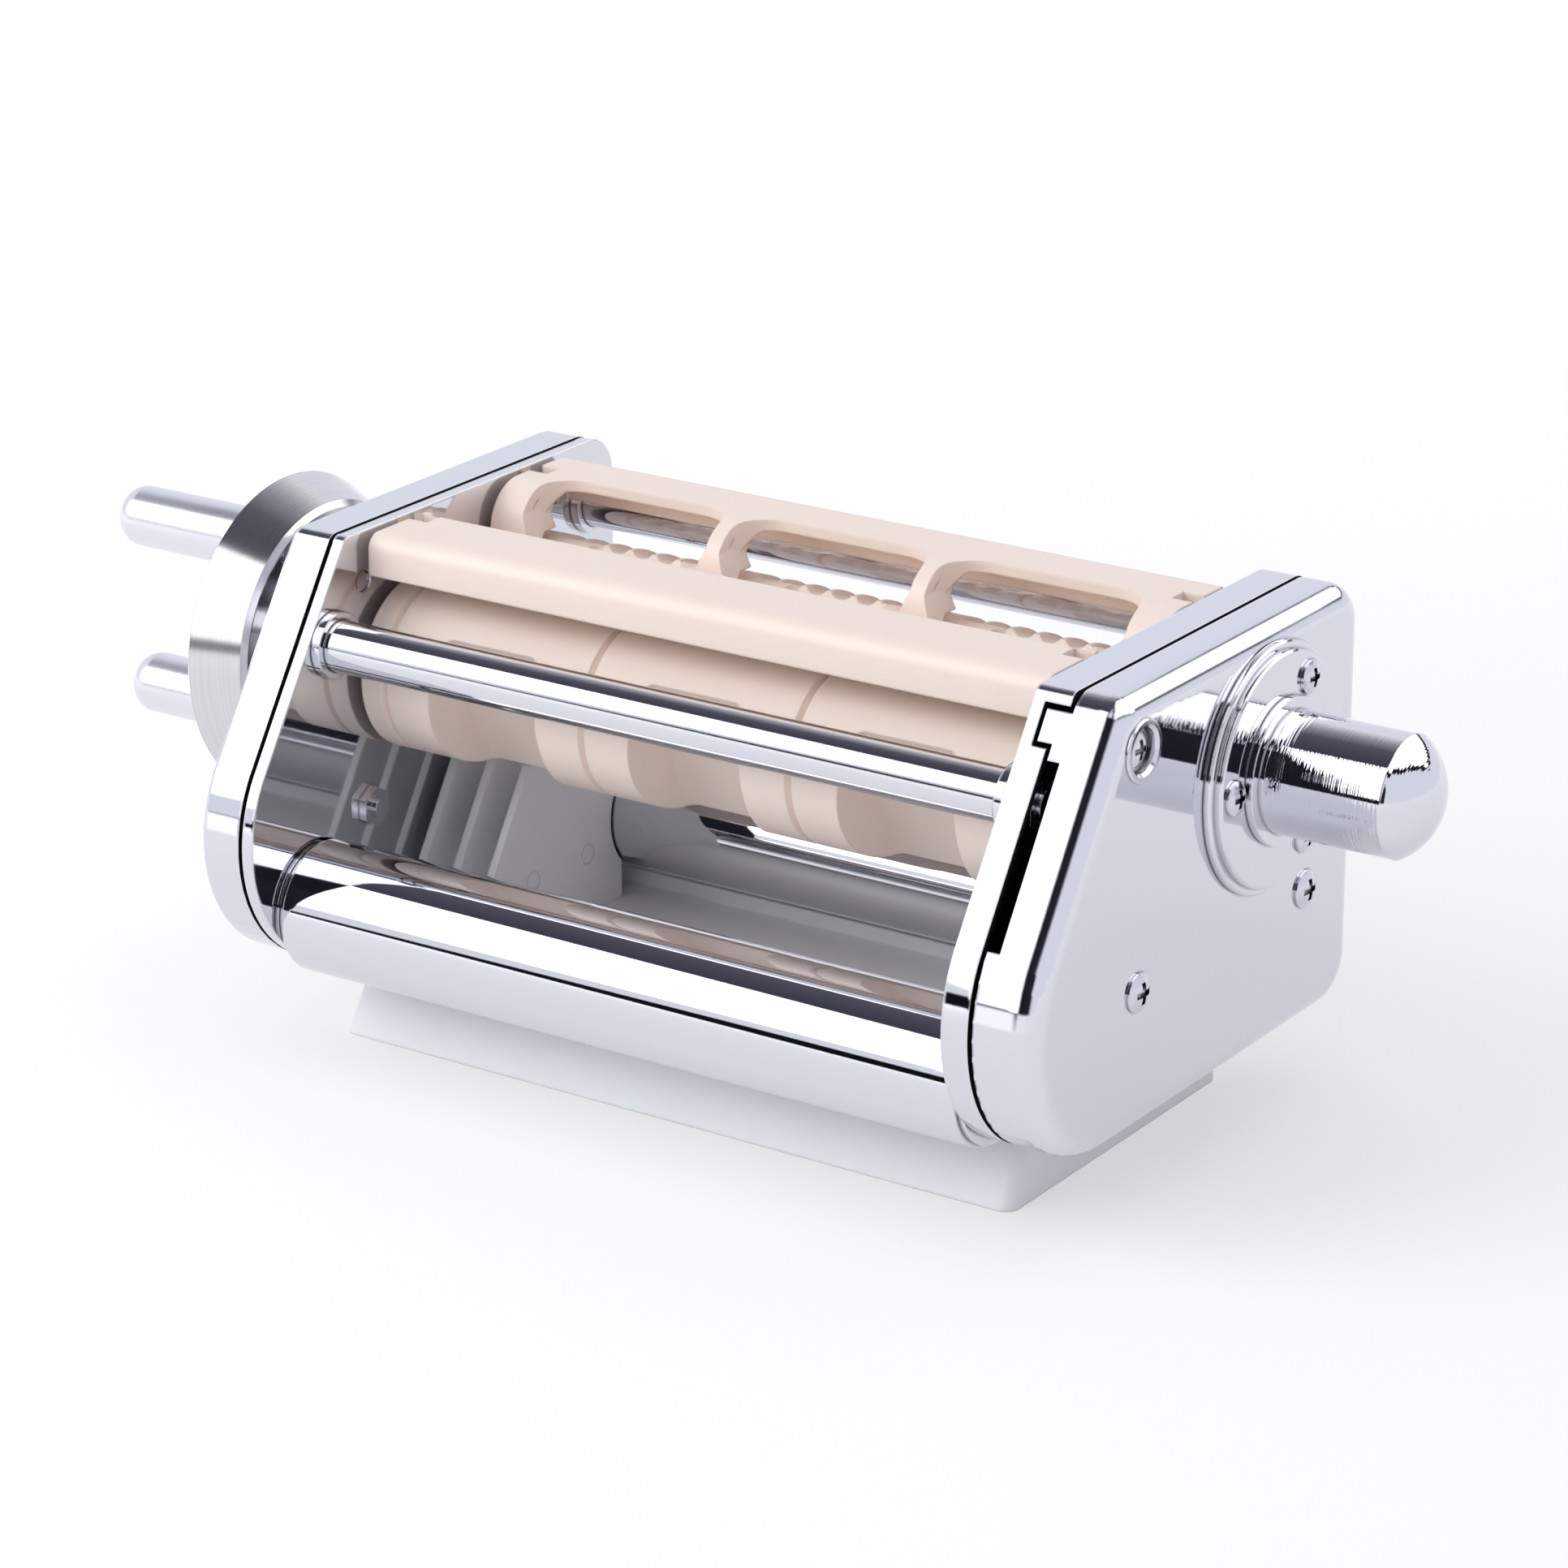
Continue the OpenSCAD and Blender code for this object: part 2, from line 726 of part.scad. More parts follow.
module rear_tube() color("gainsboro")
    lower_tube(rear_tube);

// Plastic plugs that fill the tubes' ends and take the screws
module tube_end_plugs() color("dimgray")
    for (p = tube_places, side = [-1, 1])
        difference() {
            union() {
                bar(p, side > 0 ? tube_len / 2 : -half_w, plug_lip_t, tube_r - plug_lip_step);
                bar(p, side > 0 ? half_w - plug_wall_len : -half_w, plug_wall_len, tube_r - tube_t - fix_fit);
            }
            bar(p, -half_w - over, inner_w + 2 * over, tube_screw_d / 2 + fix_fit);
        }

module tube_screws() color("silver")
    for (p = tube_places, side = [-1, 1])
        screw(p, side * (half_w + sheet_t), -side, tube_screw_len,
            tube_screw_head_d, tube_screw_head_h, tube_screw_d);

// Corners of the tray in plan at a height, with every wall set in by inset
module tray_plan(z, inset, r) {
    share = z / tray_h;
    x = half_w - tray_gap - inset - tray_draft * share - r;
    front = -tray_front + inset + tray_front_lean * share + r;
    rear = tray_rear - inset - tray_draft * share - r;
    for (sx = [-1, 1], y = [front, rear])
        translate([sx * x, y])
            circle(r, $fn = cutter_fn);
}

// Closed block between two heights with the tray's leaning walls
module tray_block(foot, top, inset, r) {
    hull()
        for (z = [foot, top - free_gap])
            translate([0, 0, z])
                linear_extrude(free_gap)
                    tray_plan(z, inset, r);
}

// Guide fin beside the path of the ravioli sheet, seen from the side, cut round the rear tube
module fin_profile() {
    difference() {
        polygon([for (p = fin_shares)
            [p[0] * (fin_front + fin_rear) - fin_front, fin_foot + p[1] * fin_h]]);
        translate(rear_tube)
            circle(tube_r + free_gap);
    }
}

// Ribs that stiffen the tray's floor from below, with one of each direction through the origin
module tray_ribs() {
    intersection() {
        tray_block(0, fin_foot, tray_t / 2, tray_inner_r);
        union() {
            for (i = [-rib_spans[0] : rib_spans[0]])
                translate([i * rib_pitches[0] - rib_t / 2, -tray_front, 0])
                    cube([rib_t, tray_front + tray_rear, fin_foot]);
            for (i = [-rib_spans[1] : rib_spans[1]])
                translate([-half_w, i * rib_pitches[1] - rib_t / 2, 0])
                    cube([inner_w, rib_t, fin_foot]);
        }
    }
}

module tray_shell() {
    difference() {
        tray_block(0, tray_h, 0, tray_corner_r);
        tray_block(-over, tray_floor - tray_t, tray_t, tray_inner_r);
        tray_block(tray_floor, tray_h + over, tray_t, tray_inner_r);
    }
}

// Moulded base tray with three guide fins at each end, tied together by the bosses for the side screws
module base_tray() color("gainsboro")
    difference() {
        union() {
            tray_shell();
            tray_ribs();
            for (side = [-1, 1], i = [0 : fin_count - 1])
                upright(side * (half_w - first_fin - i * fin_pitch) - fin_t / 2)
                    linear_extrude(fin_t)
                        fin_profile();
            for (p = tray_screw_places, side = [-1, 1])
                bar(p, side > 0 ? half_w - boss_len : -half_w + free_gap, boss_len - free_gap, boss_r);
        }
        for (p = tray_screw_places)
            bar(p, -half_w - over, inner_w + 2 * over, screw_d / 2 + fix_fit);
    }

module tray_screws() color("silver")
    for (p = tray_screw_places, side = [-1, 1])
        screw(p, side * (half_w + sheet_t), -side, tray_screw_len, screw_head_d, screw_head_h, screw_d);

// Section through the hopper at a filling opening: front bar, trough over the nip, ramp and rear deck
module hopper_profile() {
    polygon([[-bar_front, bar_foot], [-bar_front, hopper_z - bar_edge_r], [-bar_front + bar_edge_r, hopper_z],
        [-bar_rear - small_edge, hopper_z], [-bar_rear, hopper_z - small_edge], [-bar_rear, trough_z + trough_rise],
        [-nose_half - hopper_t, trough_z], [ramp_y, trough_z], [ramp_y, ramp_centre[1]], [ramp_centre[0], hopper_z],
        [hopper_rear - small_edge, hopper_z], [hopper_rear, hopper_z - small_edge], [hopper_rear, bar_foot],
        [hopper_rear - hopper_t, bar_foot], [hopper_rear - hopper_t, hopper_z - hopper_t],
        [ramp_centre[0] + hopper_t, hopper_z - hopper_t], [ramp_y + hopper_t, trough_z - small_edge],
        [nose_half, nose_shoulder_z], [nose_half, hopper_nose_z], [-nose_half, hopper_nose_z],
        [-nose_half, nose_shoulder_z], [-bar_rear - hopper_t, trough_z + trough_rise - small_edge],
        [-bar_rear - hopper_t, hopper_z - hopper_t], [-bar_front + hopper_t, hopper_z - hopper_t],
        [-bar_front + hopper_t, bar_foot]]);
    translate([-bar_front + bar_edge_r, hopper_z - bar_edge_r])
        circle(bar_edge_r);
    intersection() {
        translate(ramp_centre)
            difference() {
                circle(ramp_r);
                circle(ramp_r - hopper_t);
            }
        translate([ramp_y, ramp_centre[1]])
            square(ramp_r);
    }
}

// Closed end wall of the hopper, which rests on the pins
module hopper_end() {
    polygon([[-bar_front, bar_foot], [-bar_front, hopper_z - bar_edge_r], [-bar_front + bar_edge_r, hopper_z],
        [-bar_rear, hopper_z], [-bar_rear, trough_z + trough_rise], [-nose_half - hopper_t, trough_z],
        [ramp_y, trough_z], [ramp_y, ramp_centre[1]], [ramp_centre[0], hopper_z], [hopper_rear - small_edge, hopper_z],
        [hopper_rear, hopper_z - small_edge], [hopper_rear, bar_foot], [ramp_y + hopper_t, bar_foot],
        [nose_half, nose_shoulder_z], [nose_half, hopper_nose_z], [-nose_half, hopper_nose_z],
        [-nose_half, nose_shoulder_z], [-bar_rear - hopper_t, bar_foot]]);
    intersection() {
        translate(ramp_centre)
            circle(ramp_r);
        translate([ramp_y, ramp_centre[1]])
            square(ramp_r);
    }
    translate([-bar_front + bar_edge_r, hopper_z - bar_edge_r])
        circle(bar_edge_r);
}

// Side of the webs between the openings, from the trough's floor to the ramp
module divider_profile() {
    polygon([[-bar_rear - hopper_t, trough_z], [-nose_half, nose_shoulder_z], [nose_half, nose_shoulder_z],
        [ramp_y + hopper_t, trough_z - small_edge], [mouth_rear + hopper_t, hopper_z - hopper_t],
        [ramp_centre[0], hopper_z - hopper_t], [ramp_y + hopper_t, ramp_centre[1]], [ramp_y, trough_z],
        [-bar_rear, trough_z]]);
    translate(ramp_centre)
        intersection() {
            circle(ramp_r);
            translate([-ramp_r, 0])
                square(ramp_r);
        }
}

// Webs that grow wider towards their feet, so that each opening between them is a funnel
module dividers() {
    foot = (row_pitch - mouth_foot_w) / 2;
    funnel_top = hopper_z - funnel_drop;
    intersection() {
        upright(-hopper_half)
            linear_extrude(2 * hopper_half)
                divider_profile();
        translate([0, mouth_rear + hopper_t, 0])
            rotate([90, 0, 0])
                linear_extrude(mouth_rear + bar_front)
                    for (i = [0 : rows])
                        translate([(i - rows / 2) * row_pitch, 0])
                            polygon([[-foot, 0], [foot, 0], [foot, nose_shoulder_z], [divider_t / 2, funnel_top],
                                [divider_t / 2, hopper_z], [-divider_t / 2, hopper_z],
                                [-divider_t / 2, funnel_top], [-foot, nose_shoulder_z]]);
    }
}

// Filling opening through the hopper, in plan, with its rear corners rounded
module mouth_plan() {
    translate([-mouth_w / 2, -feed_w / 2])
        square([mouth_w, mouth_rear + feed_w / 2 - mouth_r]);
    translate([-mouth_w / 2 + mouth_r, 0])
        square([mouth_w - 2 * mouth_r, mouth_rear]);
    for (s = [-1, 1])
        translate([s * (mouth_w / 2 - mouth_r), mouth_rear - mouth_r])
            circle(mouth_r);
}

module hopper() color("bisque")
    difference() {
        union() {
            difference() {
                upright(-hopper_half)
                    linear_extrude(2 * hopper_half)
                        hopper_profile();
                for (i = [0 : rows - 1])
                    translate([(i - (rows - 1) / 2) * row_pitch, 0, nose_shoulder_z])
                        linear_extrude(hopper_z)
                            mouth_plan();
            }
            for (side = [-1, 1])
                upright(side > 0 ? hopper_half - hopper_t : -hopper_half)
                    linear_extrude(hopper_t)
                        hopper_end();
            dividers();
        }
        for (i = [0 : rows - 1])
            translate([(i - (rows - 1) / 2) * row_pitch - mouth_foot_w / 2, -feed_w / 2, hopper_nose_z - over])
                cube([mouth_foot_w, feed_w, hopper_z]);
        for (p = pin_places, side = [-1, 1]) {
            x = side > 0 ? hopper_half - pin_len : -hopper_half - over;
            bar(p, x, pin_len + over, pin_d / 2 + run_fit);
            translate([x, p[0] - pin_d / 2 - run_fit, p[1] - pin_d])
                cube([pin_len + over, pin_d + 2 * run_fit, pin_d]);
        }
        for (y = notch_fronts, side = [-1, 1])
            translate([side > 0 ? hopper_half - notch_len : -hopper_half - over, y, hopper_z - notch_d])
                cube([notch_len + over, notch_w, notch_d + over]);
    }

// Pins riveted into the frames under the hopper's ends
module hopper_pins() color("silver")
    for (p = pin_places, side = [-1, 1]) {
        bar(p, side > 0 ? half_w - pin_len : -half_w - sheet_t, pin_len + sheet_t, pin_d / 2);
        bar(p, side > 0 ? half_w + sheet_t : -half_w - sheet_t - pin_head_h, pin_head_h, pin_d);
    }

// Cutter for one pocket whose middle points along +Z: a tray with slanting walls and rounded corners
module pocket_cut() {
    half_floor = pocket_floor_w / 2;
    f = pocket_fillet;
    top = roller_r + over;
    wide = pocket_w / 2 + (pocket_w / 2 - half_floor) / (roller_r - pocket_floor_r) * over;
    translate([0, top, 0])
        rotate([90, 0, 0])
            linear_extrude(2 * top) {
                polygon([[-half_floor + f, pocket_floor_r], [half_floor - f, pocket_floor_r],
                    [half_floor, pocket_floor_r + f], [wide, top], [-wide, top], [-half_floor, pocket_floor_r + f]]);
                for (s = [-1, 1])
                    translate([s * (half_floor - f), pocket_floor_r + f])
                        circle(f);
            }
}

// Roller along X with its axis at the origin, its pockets facing up and down before it is turned
module roller_body() {
    difference() {
        bar([0, 0], -roller_len / 2, roller_len, roller_r);
        for (i = [0 : rows - 1], turn = [0, 180])
            translate([(i - (rows - 1) / 2) * row_pitch, 0, 0])
                rotate([turn, 0, 0])
                    pocket_cut();
        for (i = [0 : rows])
            turned([0, 0], (i - rows / 2) * row_pitch)
                polygon([[-groove_w / 2, roller_r + over], [-groove_w / 2, roller_r], [0, roller_r - groove_d],
                    [groove_w / 2, roller_r], [groove_w / 2, roller_r + over]]);
        bar([0, 0], -roller_len / 2 - over, roller_len + 2 * over, shaft_r + fix_fit);
        children();
    }
}

// Rings of scallops across the lands between two pockets, which crimp the ravioli
module crimp_cuts() {
    intersection() {
        for (i = [0 : rows - 1], k = [0 : crimp_count - 1])
            turned([0, 0], (i - (rows - 1) / 2) * row_pitch + (k - (crimp_count - 1) / 2) * crimp_pitch)
                translate([0, roller_r + crimp_r - crimp_d])
                    circle(crimp_r, $fn = cutter_fn);
        translate([-half_w, -axis_gap, -pocket_floor_r])
            cube([inner_w, 2 * axis_gap, 2 * pocket_floor_r]);
    }
}

module front_roller() color("wheat")
    translate([0, front_axis[0], front_axis[1]])
        rotate([pocket_tilt - 90, 0, 0])
            roller_body();

module rear_roller() color("wheat")
    translate([0, rear_axis[0], rear_axis[1]])
        rotate([90 - pocket_tilt, 0, 0])
            roller_body()
                crimp_cuts();

// Shaft from x0 with a flat for its gear, and a groove for the clip behind it
module shaft(place, x0) {
    translate([0, place[0], place[1]])
        difference() {
            bar([0, 0], x0, gear_end - x0, shaft_r);
            translate([gear_x - gear_gap / 2, -shaft_r, shaft_r - shaft_flat])
                cube([gear_end - gear_x + over, shaft_d, shaft_flat + over]);
            turned([0, 0], gear_x + gear_w)
                polygon([[0, shaft_r - clip_groove_d], [0, shaft_r + over], [clip_groove_w, shaft_r + over],
                    [clip_groove_w, shaft_r - clip_groove_d]]);
        }
}

// The front shaft also has a flat and a threaded bore for the crank wheel
module front_shaft() color("slategray")
    difference() {
        shaft(front_axis, shaft_left_end);
        translate([shaft_left_end - over, front_axis[0] - shaft_r, front_axis[1] + shaft_r - shaft_flat])
            cube([hub_end - shaft_left_end + over, shaft_d, shaft_flat + over]);
        bar(front_axis, shaft_left_end - over, shaft_bore_len + over, crank_screw_d / 2 + fix_fit);
    }

module rear_shaft() color("slategray")
    shaft(rear_axis, -half_w - left_frame_depth);

// Open spring clip in a shaft's groove, which holds the gear
module clip(place) {
    x = gear_x + gear_w + (clip_groove_w - clip_t) / 2;
    inner_r = shaft_r - clip_groove_d + run_fit;
    difference() {
        bar(place, x, clip_t, shaft_r + clip_ring);
        bar(place, x - over, clip_t + 2 * over, inner_r);
        translate([x - over, place[0] - inner_r * clip_mouth_share, place[1] - shaft_r - clip_ring - over])
            cube([clip_t + 2 * over, 2 * inner_r * clip_mouth_share, shaft_r + clip_ring + over]);
    }
}

module front_gear_clip() color("silver")
    clip(front_axis);

module rear_gear_clip() color("silver")
    clip(rear_axis);

// Angle that an involute has turned through at radius r, in degrees
function involute_angle(r) = let (t = acos(min(1, base_r / r))) tan(t) * 180 / PI - t;

// Half the angle that a tooth takes at radius r
function tooth_half(r) = 90 / teeth - backlash / 4 / pitch_r * 180 / PI
    + involute_angle(pitch_r) - involute_angle(max(r, base_r));

function flank_radii() = [root_r, for (k = [0 : flank_steps]) base_r + (tip_r - base_r) * k / flank_steps];

module gear_profile() {
    radii = flank_radii();
    n = len(radii) - 1;
    polygon([for (i = [0 : teeth - 1], side = [-1, 1], k = [0 : n])
        let (r = radii[side < 0 ? k : n - k])
            r * unit(i * 360 / teeth + side * tooth_half(r))]);
}

// Gear on a shaft, with a flatted bore and a boss towards the frame
module gear(place, phase) {
    translate([0, place[0], place[1]])
        difference() {
            union() {
                upright(gear_x + gear_boss_step)
                    linear_extrude(gear_w - gear_boss_step)
                        rotate(phase)
                            gear_profile();
                bar([0, 0], gear_x, gear_w, gear_boss_r);
            }
            upright(gear_x - over)
                linear_extrude(gear_w + 2 * over)
                    flatted(shaft_r + fix_fit, shaft_flat);
        }
}

module front_gear() color("darkgray")
    gear(front_axis, 0);

// A tooth of the front gear points at the rear axis, so the rear gear shows it a gap
module rear_gear() color("darkgray")
    gear(rear_axis, 180 + 180 / teeth);

// Flanged bushes that carry the shafts in the frames
module shaft_bushes() color("ivory")
    for (p = [front_axis, rear_axis], side = [-1, 1])
        difference() {
            union() {
                bar(p, side > 0 ? half_w - bush_flange_t : -half_w - sheet_t - bush_tail,
                    bush_flange_t + sheet_t + bush_tail, bush_d / 2);
                bar(p, side > 0 ? half_w - bush_flange_t : -half_w, bush_flange_t, bush_flange_d / 2);
            }
            bar(p, -half_w - left_cover_depth, inner_w + 2 * left_cover_depth, shaft_r + run_fit);
        }

// Crank wheel: a turned dish with a tapered rim and a web, and a hub that runs in to the frame's bush
module crank_wheel() color("darkgray")
    translate([0, front_axis[0], front_axis[1]])
        difference() {
            turned([0, 0], 0)
                polygon([[wheel_x, wheel_inner_d / 2], [wheel_x + edge_break, wheel_inner_d / 2 - wheel_t / 2],
                    [wheel_x, wheel_inner_d / 2 - wheel_t],
                    [wheel_face + wheel_t, wheel_d / 2 - wheel_t - edge_break],
                    [wheel_face + wheel_t, wheel_hub_r], [hub_end, wheel_hub_r], [hub_end, 0], [wheel_face, 0],
                    [wheel_face, wheel_d / 2 - edge_break], [wheel_face + edge_break, wheel_d / 2]]);
            upright(shaft_left_end)
                linear_extrude(hub_end - shaft_left_end + over)
                    flatted(shaft_r + fix_fit, shaft_flat);
            bar([0, 0], wheel_face - over, wheel_t + 2 * over, crank_screw_d / 2 + run_fit);
            for (turn = [peg_tilt, peg_tilt + 180])
                rotate([turn, 0, 0])
                    bar([0, peg_reach], wheel_face - over, wheel_t + 2 * over, peg_neck_r + fix_fit);
        }

// Side of a finger peg from its foot at 0, with a rounded end and a neck that is riveted over
module peg_profile() {
    translate([-peg_len + peg_end_r, 0])
        square([peg_len - peg_end_r, peg_d / 2]);
    translate([-peg_len, 0])
        square([peg_end_r, peg_d / 2 - peg_end_r]);
    intersection() {
        translate([-peg_len + peg_end_r, peg_d / 2 - peg_end_r])
            circle(peg_end_r);
        translate([-peg_len, 0])
            square([peg_end_r, peg_d / 2]);
    }
    square([wheel_t + rivet_tail, peg_neck_r]);
}

// Two finger pegs, riveted through the web
module crank_pegs() color("silver")
    translate([0, front_axis[0], front_axis[1]])
        for (turn = [peg_tilt, peg_tilt + 180])
            rotate([turn, 0, 0])
                turned([0, peg_reach], wheel_face)
                    peg_profile();

module crank_screw() color("silver")
    screw(front_axis, wheel_face, 1, crank_screw_len, crank_screw_head_d, crank_screw_head_h, crank_screw_d);

function hub_screw_place(a) = plug_axis + flange_screw_r * unit(a);

// Two stacked flange discs under the hub plug
module hub_flange() color("silver")
    difference() {
        turned(plug_axis, right_face)
            polygon([[0, 0], [0, flange_back_d / 2], [flange_t - flange_edge, flange_back_d / 2],
                [flange_t, flange_back_d / 2 - flange_edge], [flange_t, flange_d / 2],
                [2 * flange_t - flange_edge, flange_d / 2], [2 * flange_t, flange_d / 2 - flange_edge],
                [2 * flange_t, 0]]);
        bar(plug_axis, right_face - over, 2 * flange_t + 2 * over, plug_neck_r + fix_fit);
        for (a = hub_screw_angles)
            bar(hub_screw_place(a), right_face - over, 2 * flange_t + 2 * over, screw_d / 2 + run_fit);
    }

// Fixed plug that slides into the mixer's socket, with a domed nose and a riveted neck
module hub_plug() color("whitesmoke") {
    r = plug_d / 2;
    dome_r = (r * r + dome_len * dome_len) / 2 / dome_len;
    neck = 2 * flange_t + sheet_t + rivet_tail;
    turned(plug_axis, right_face + 2 * flange_t) {
        square([flange_t, plug_collar_d / 2]);
        square([plug_len - dome_len, r]);
        translate([-neck, 0])
            square([neck + over, plug_neck_r]);
        intersection() {
            translate([plug_len - dome_r, 0])
                circle(dome_r);
            translate([plug_len - dome_len - over, 0])
                square([dome_len + over, r]);
        }
    }
}

module hub_screws() color("silver")
    for (a = hub_screw_angles)
        screw(hub_screw_place(a), right_face + 2 * flange_t, -1, 2 * flange_t + sheet_t + hub_screw_tip,
            hub_screw_head_d, screw_head_h, screw_d);

left_frame();
right_frame();
left_cover();
right_cover();
left_cover_posts();
right_cover_posts();
left_cover_screws();
right_cover_screws();
screw_cup();
frame_lock_nuts();
front_tie_rod();
rear_tie_rod();
tie_rod_collars();
tie_rod_nuts();
front_tube();
rear_tube();
tube_end_plugs();
tube_screws();
base_tray();
tray_screws();
hopper();
hopper_pins();
front_shaft();
front_roller();
front_gear();
front_gear_clip();
rear_shaft();
rear_roller();
rear_gear();
rear_gear_clip();
shaft_bushes();
crank_wheel();
crank_pegs();
crank_screw();
hub_flange();
hub_plug();
hub_screws();
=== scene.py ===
# A three-row ravioli maker attachment with a hand crank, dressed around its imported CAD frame.
# Units are metres, in the frame's own axes: X runs along the rollers, Y to the back and Z up.
import bmesh
import bpy
from math import cos, pi, radians, sin
from mathutils import Euler, Matrix, Vector


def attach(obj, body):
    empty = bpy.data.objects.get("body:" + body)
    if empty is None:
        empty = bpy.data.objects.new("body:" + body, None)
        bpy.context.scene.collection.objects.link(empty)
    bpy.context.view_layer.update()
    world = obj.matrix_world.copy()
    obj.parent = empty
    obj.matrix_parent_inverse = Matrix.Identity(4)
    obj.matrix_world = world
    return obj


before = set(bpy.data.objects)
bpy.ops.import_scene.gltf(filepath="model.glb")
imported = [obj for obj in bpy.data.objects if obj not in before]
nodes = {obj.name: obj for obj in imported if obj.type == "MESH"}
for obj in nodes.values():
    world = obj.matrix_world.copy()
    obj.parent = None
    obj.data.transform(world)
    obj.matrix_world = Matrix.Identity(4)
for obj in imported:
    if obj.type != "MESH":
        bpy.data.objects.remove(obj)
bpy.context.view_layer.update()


# Camera
# It stands in front of the right-hand end, a little above the rollers, with a long lens.
CAMERA_AT = (0.51987, -0.77156, 0.39395)
CAMERA_TURN = radians(34.01)
CAMERA_DIP = radians(20.09)
CAMERA_ROLL = radians(-0.07)
UPRIGHT = radians(90)
SENSOR_MM = 36
LENS_MM = 120.97
FARTHEST_SEEN = 50

camera = bpy.data.objects.new("camera", bpy.data.cameras.new("camera"))
camera.data.sensor_width = SENSOR_MM
camera.data.lens = LENS_MM
camera.data.clip_end = FARTHEST_SEEN
camera.matrix_world = (
    Matrix.Translation(CAMERA_AT)
    @ Euler((UPRIGHT - CAMERA_DIP, 0, CAMERA_TURN)).to_matrix().to_4x4()
    @ Matrix.Rotation(CAMERA_ROLL, 4, "Z")
)
bpy.context.scene.collection.objects.link(camera)
bpy.context.scene.camera = camera
bpy.context.scene.view_settings.view_transform = "Standard"


# Paper sweep
# A large sheet of matt white paper. It lights the object as white paper does. To the eye, and in
# metal, it is a greyer paper that shines by itself up to white, so the shadow under the tray is faint.
def paint(code):
    """Linear colour of an sRGB hex code."""
    parts = [int(code[i:i + 2], 16) / 255 for i in (1, 3, 5)]
    return [p / 12.92 if p <= 0.04045 else ((p + 0.055) / 1.055) ** 2.4 for p in parts] + [1]


def add(tree, kind, inputs, **settings):
    """Adds a shader node: inputs are values or the sockets that feed it, settings its properties."""
    node = tree.nodes.new("ShaderNode" + kind)
    for name, value in settings.items():
        setattr(node, name, value)
    for name, value in inputs.items():
        if isinstance(value, bpy.types.NodeSocket):
            tree.links.new(value, node.inputs[name])
        else:
            node.inputs[name].default_value = value
    return node


def blank_material(name):
    """A new material with no nodes yet."""
    material = bpy.data.materials.new(name)
    material.use_nodes = True
    material.node_tree.nodes.clear()
    return material


def sheet_object(name, corners, faces):
    """A flat-faced mesh from its corners, linked to the scene."""
    mesh = bpy.data.meshes.new(name)
    mesh.from_pydata(corners, [], faces)
    piece = bpy.data.objects.new(name, mesh)
    bpy.context.scene.collection.objects.link(piece)
    return piece


def seen_or_mirrored(tree):
    """A socket that is 1 for rays from the camera and for those that metal or glass sends on."""
    rays = add(tree, "LightPath", {})
    eye = add(tree, "Math", {0: rays.outputs["Is Camera Ray"], 1: rays.outputs["Is Glossy Ray"]},
              operation="ADD")
    every = add(tree, "Math", {0: eye.outputs[0], 1: rays.outputs["Is Transmission Ray"]},
                operation="ADD", use_clamp=True)
    return every.outputs[0]


# The paper's own shine grows from near the object to far from it. Its grain is clumps of fibre
# about 1 mm across.
FLOOR_HALF = 9.0
FLOOR_WHITE = "#F4F4F4"
SEEN_WHITE = "#D6D6D6"
NEAR, NEAR_SHINE = 0.25, 0.38
FAR, FAR_SHINE = 1.0, 0.52
FIBRES_PER_METRE = 900.0
FIBRE_HEIGHT = 0.0002
FIBRE_BUMP = 0.05

floor = sheet_object(
    "paper_floor",
    [(-FLOOR_HALF, -FLOOR_HALF, 0), (FLOOR_HALF, -FLOOR_HALF, 0),
     (FLOOR_HALF, FLOOR_HALF, 0), (-FLOOR_HALF, FLOOR_HALF, 0)],
    [(0, 1, 2, 3)],
)
paper = blank_material("matt_white_paper")
tree = paper.node_tree
grain = add(tree, "TexNoise", {"Scale": FIBRES_PER_METRE, "Detail": 3.0})
fibre = add(tree, "Bump", {"Strength": FIBRE_BUMP, "Distance": FIBRE_HEIGHT,
                           "Height": grain.outputs["Fac"]})
matt = add(tree, "BsdfDiffuse", {"Color": paint(FLOOR_WHITE), "Normal": fibre.outputs["Normal"]})
greyer = add(tree, "BsdfDiffuse", {"Color": paint(SEEN_WHITE), "Normal": fibre.outputs["Normal"]})
spot = add(tree, "TexCoord", {})
away = add(tree, "VectorMath", {0: spot.outputs["Object"]}, operation="LENGTH")
shine = add(tree, "MapRange", {"Value": away.outputs["Value"], "From Min": NEAR, "From Max": FAR,
                               "To Min": NEAR_SHINE, "To Max": FAR_SHINE})
glow = add(tree, "Emission", {"Color": paint("#FFFFFF"), "Strength": shine.outputs["Result"]})
lifted = add(tree, "AddShader", {0: greyer.outputs[0], 1: glow.outputs[0]})
both = add(tree, "MixShader", {0: seen_or_mirrored(tree), 1: matt.outputs[0], 2: lifted.outputs[0]})
add(tree, "OutputMaterial", {"Surface": both.outputs[0]})
floor.data.materials.append(paper)


# Studio light
# A white room, one large round softbox in front on the left and a soft lamp overhead. Everything
# else is seen only by polished metal and gives the chrome its bands.
ROOM_LIGHT = 0.7
ROOM_WHITE = "#F3F5FF"

room = bpy.data.worlds.new("white_room")
bpy.context.scene.world = room
room.use_nodes = True
tree = room.node_tree
tree.nodes.clear()
strength = add(tree, "MapRange", {"Value": seen_or_mirrored(tree), "To Min": ROOM_LIGHT, "To Max": 1.0})
sky = add(tree, "Background", {"Color": paint(ROOM_WHITE), "Strength": strength.outputs["Result"]})
add(tree, "OutputWorld", {"Surface": sky.outputs[0]})


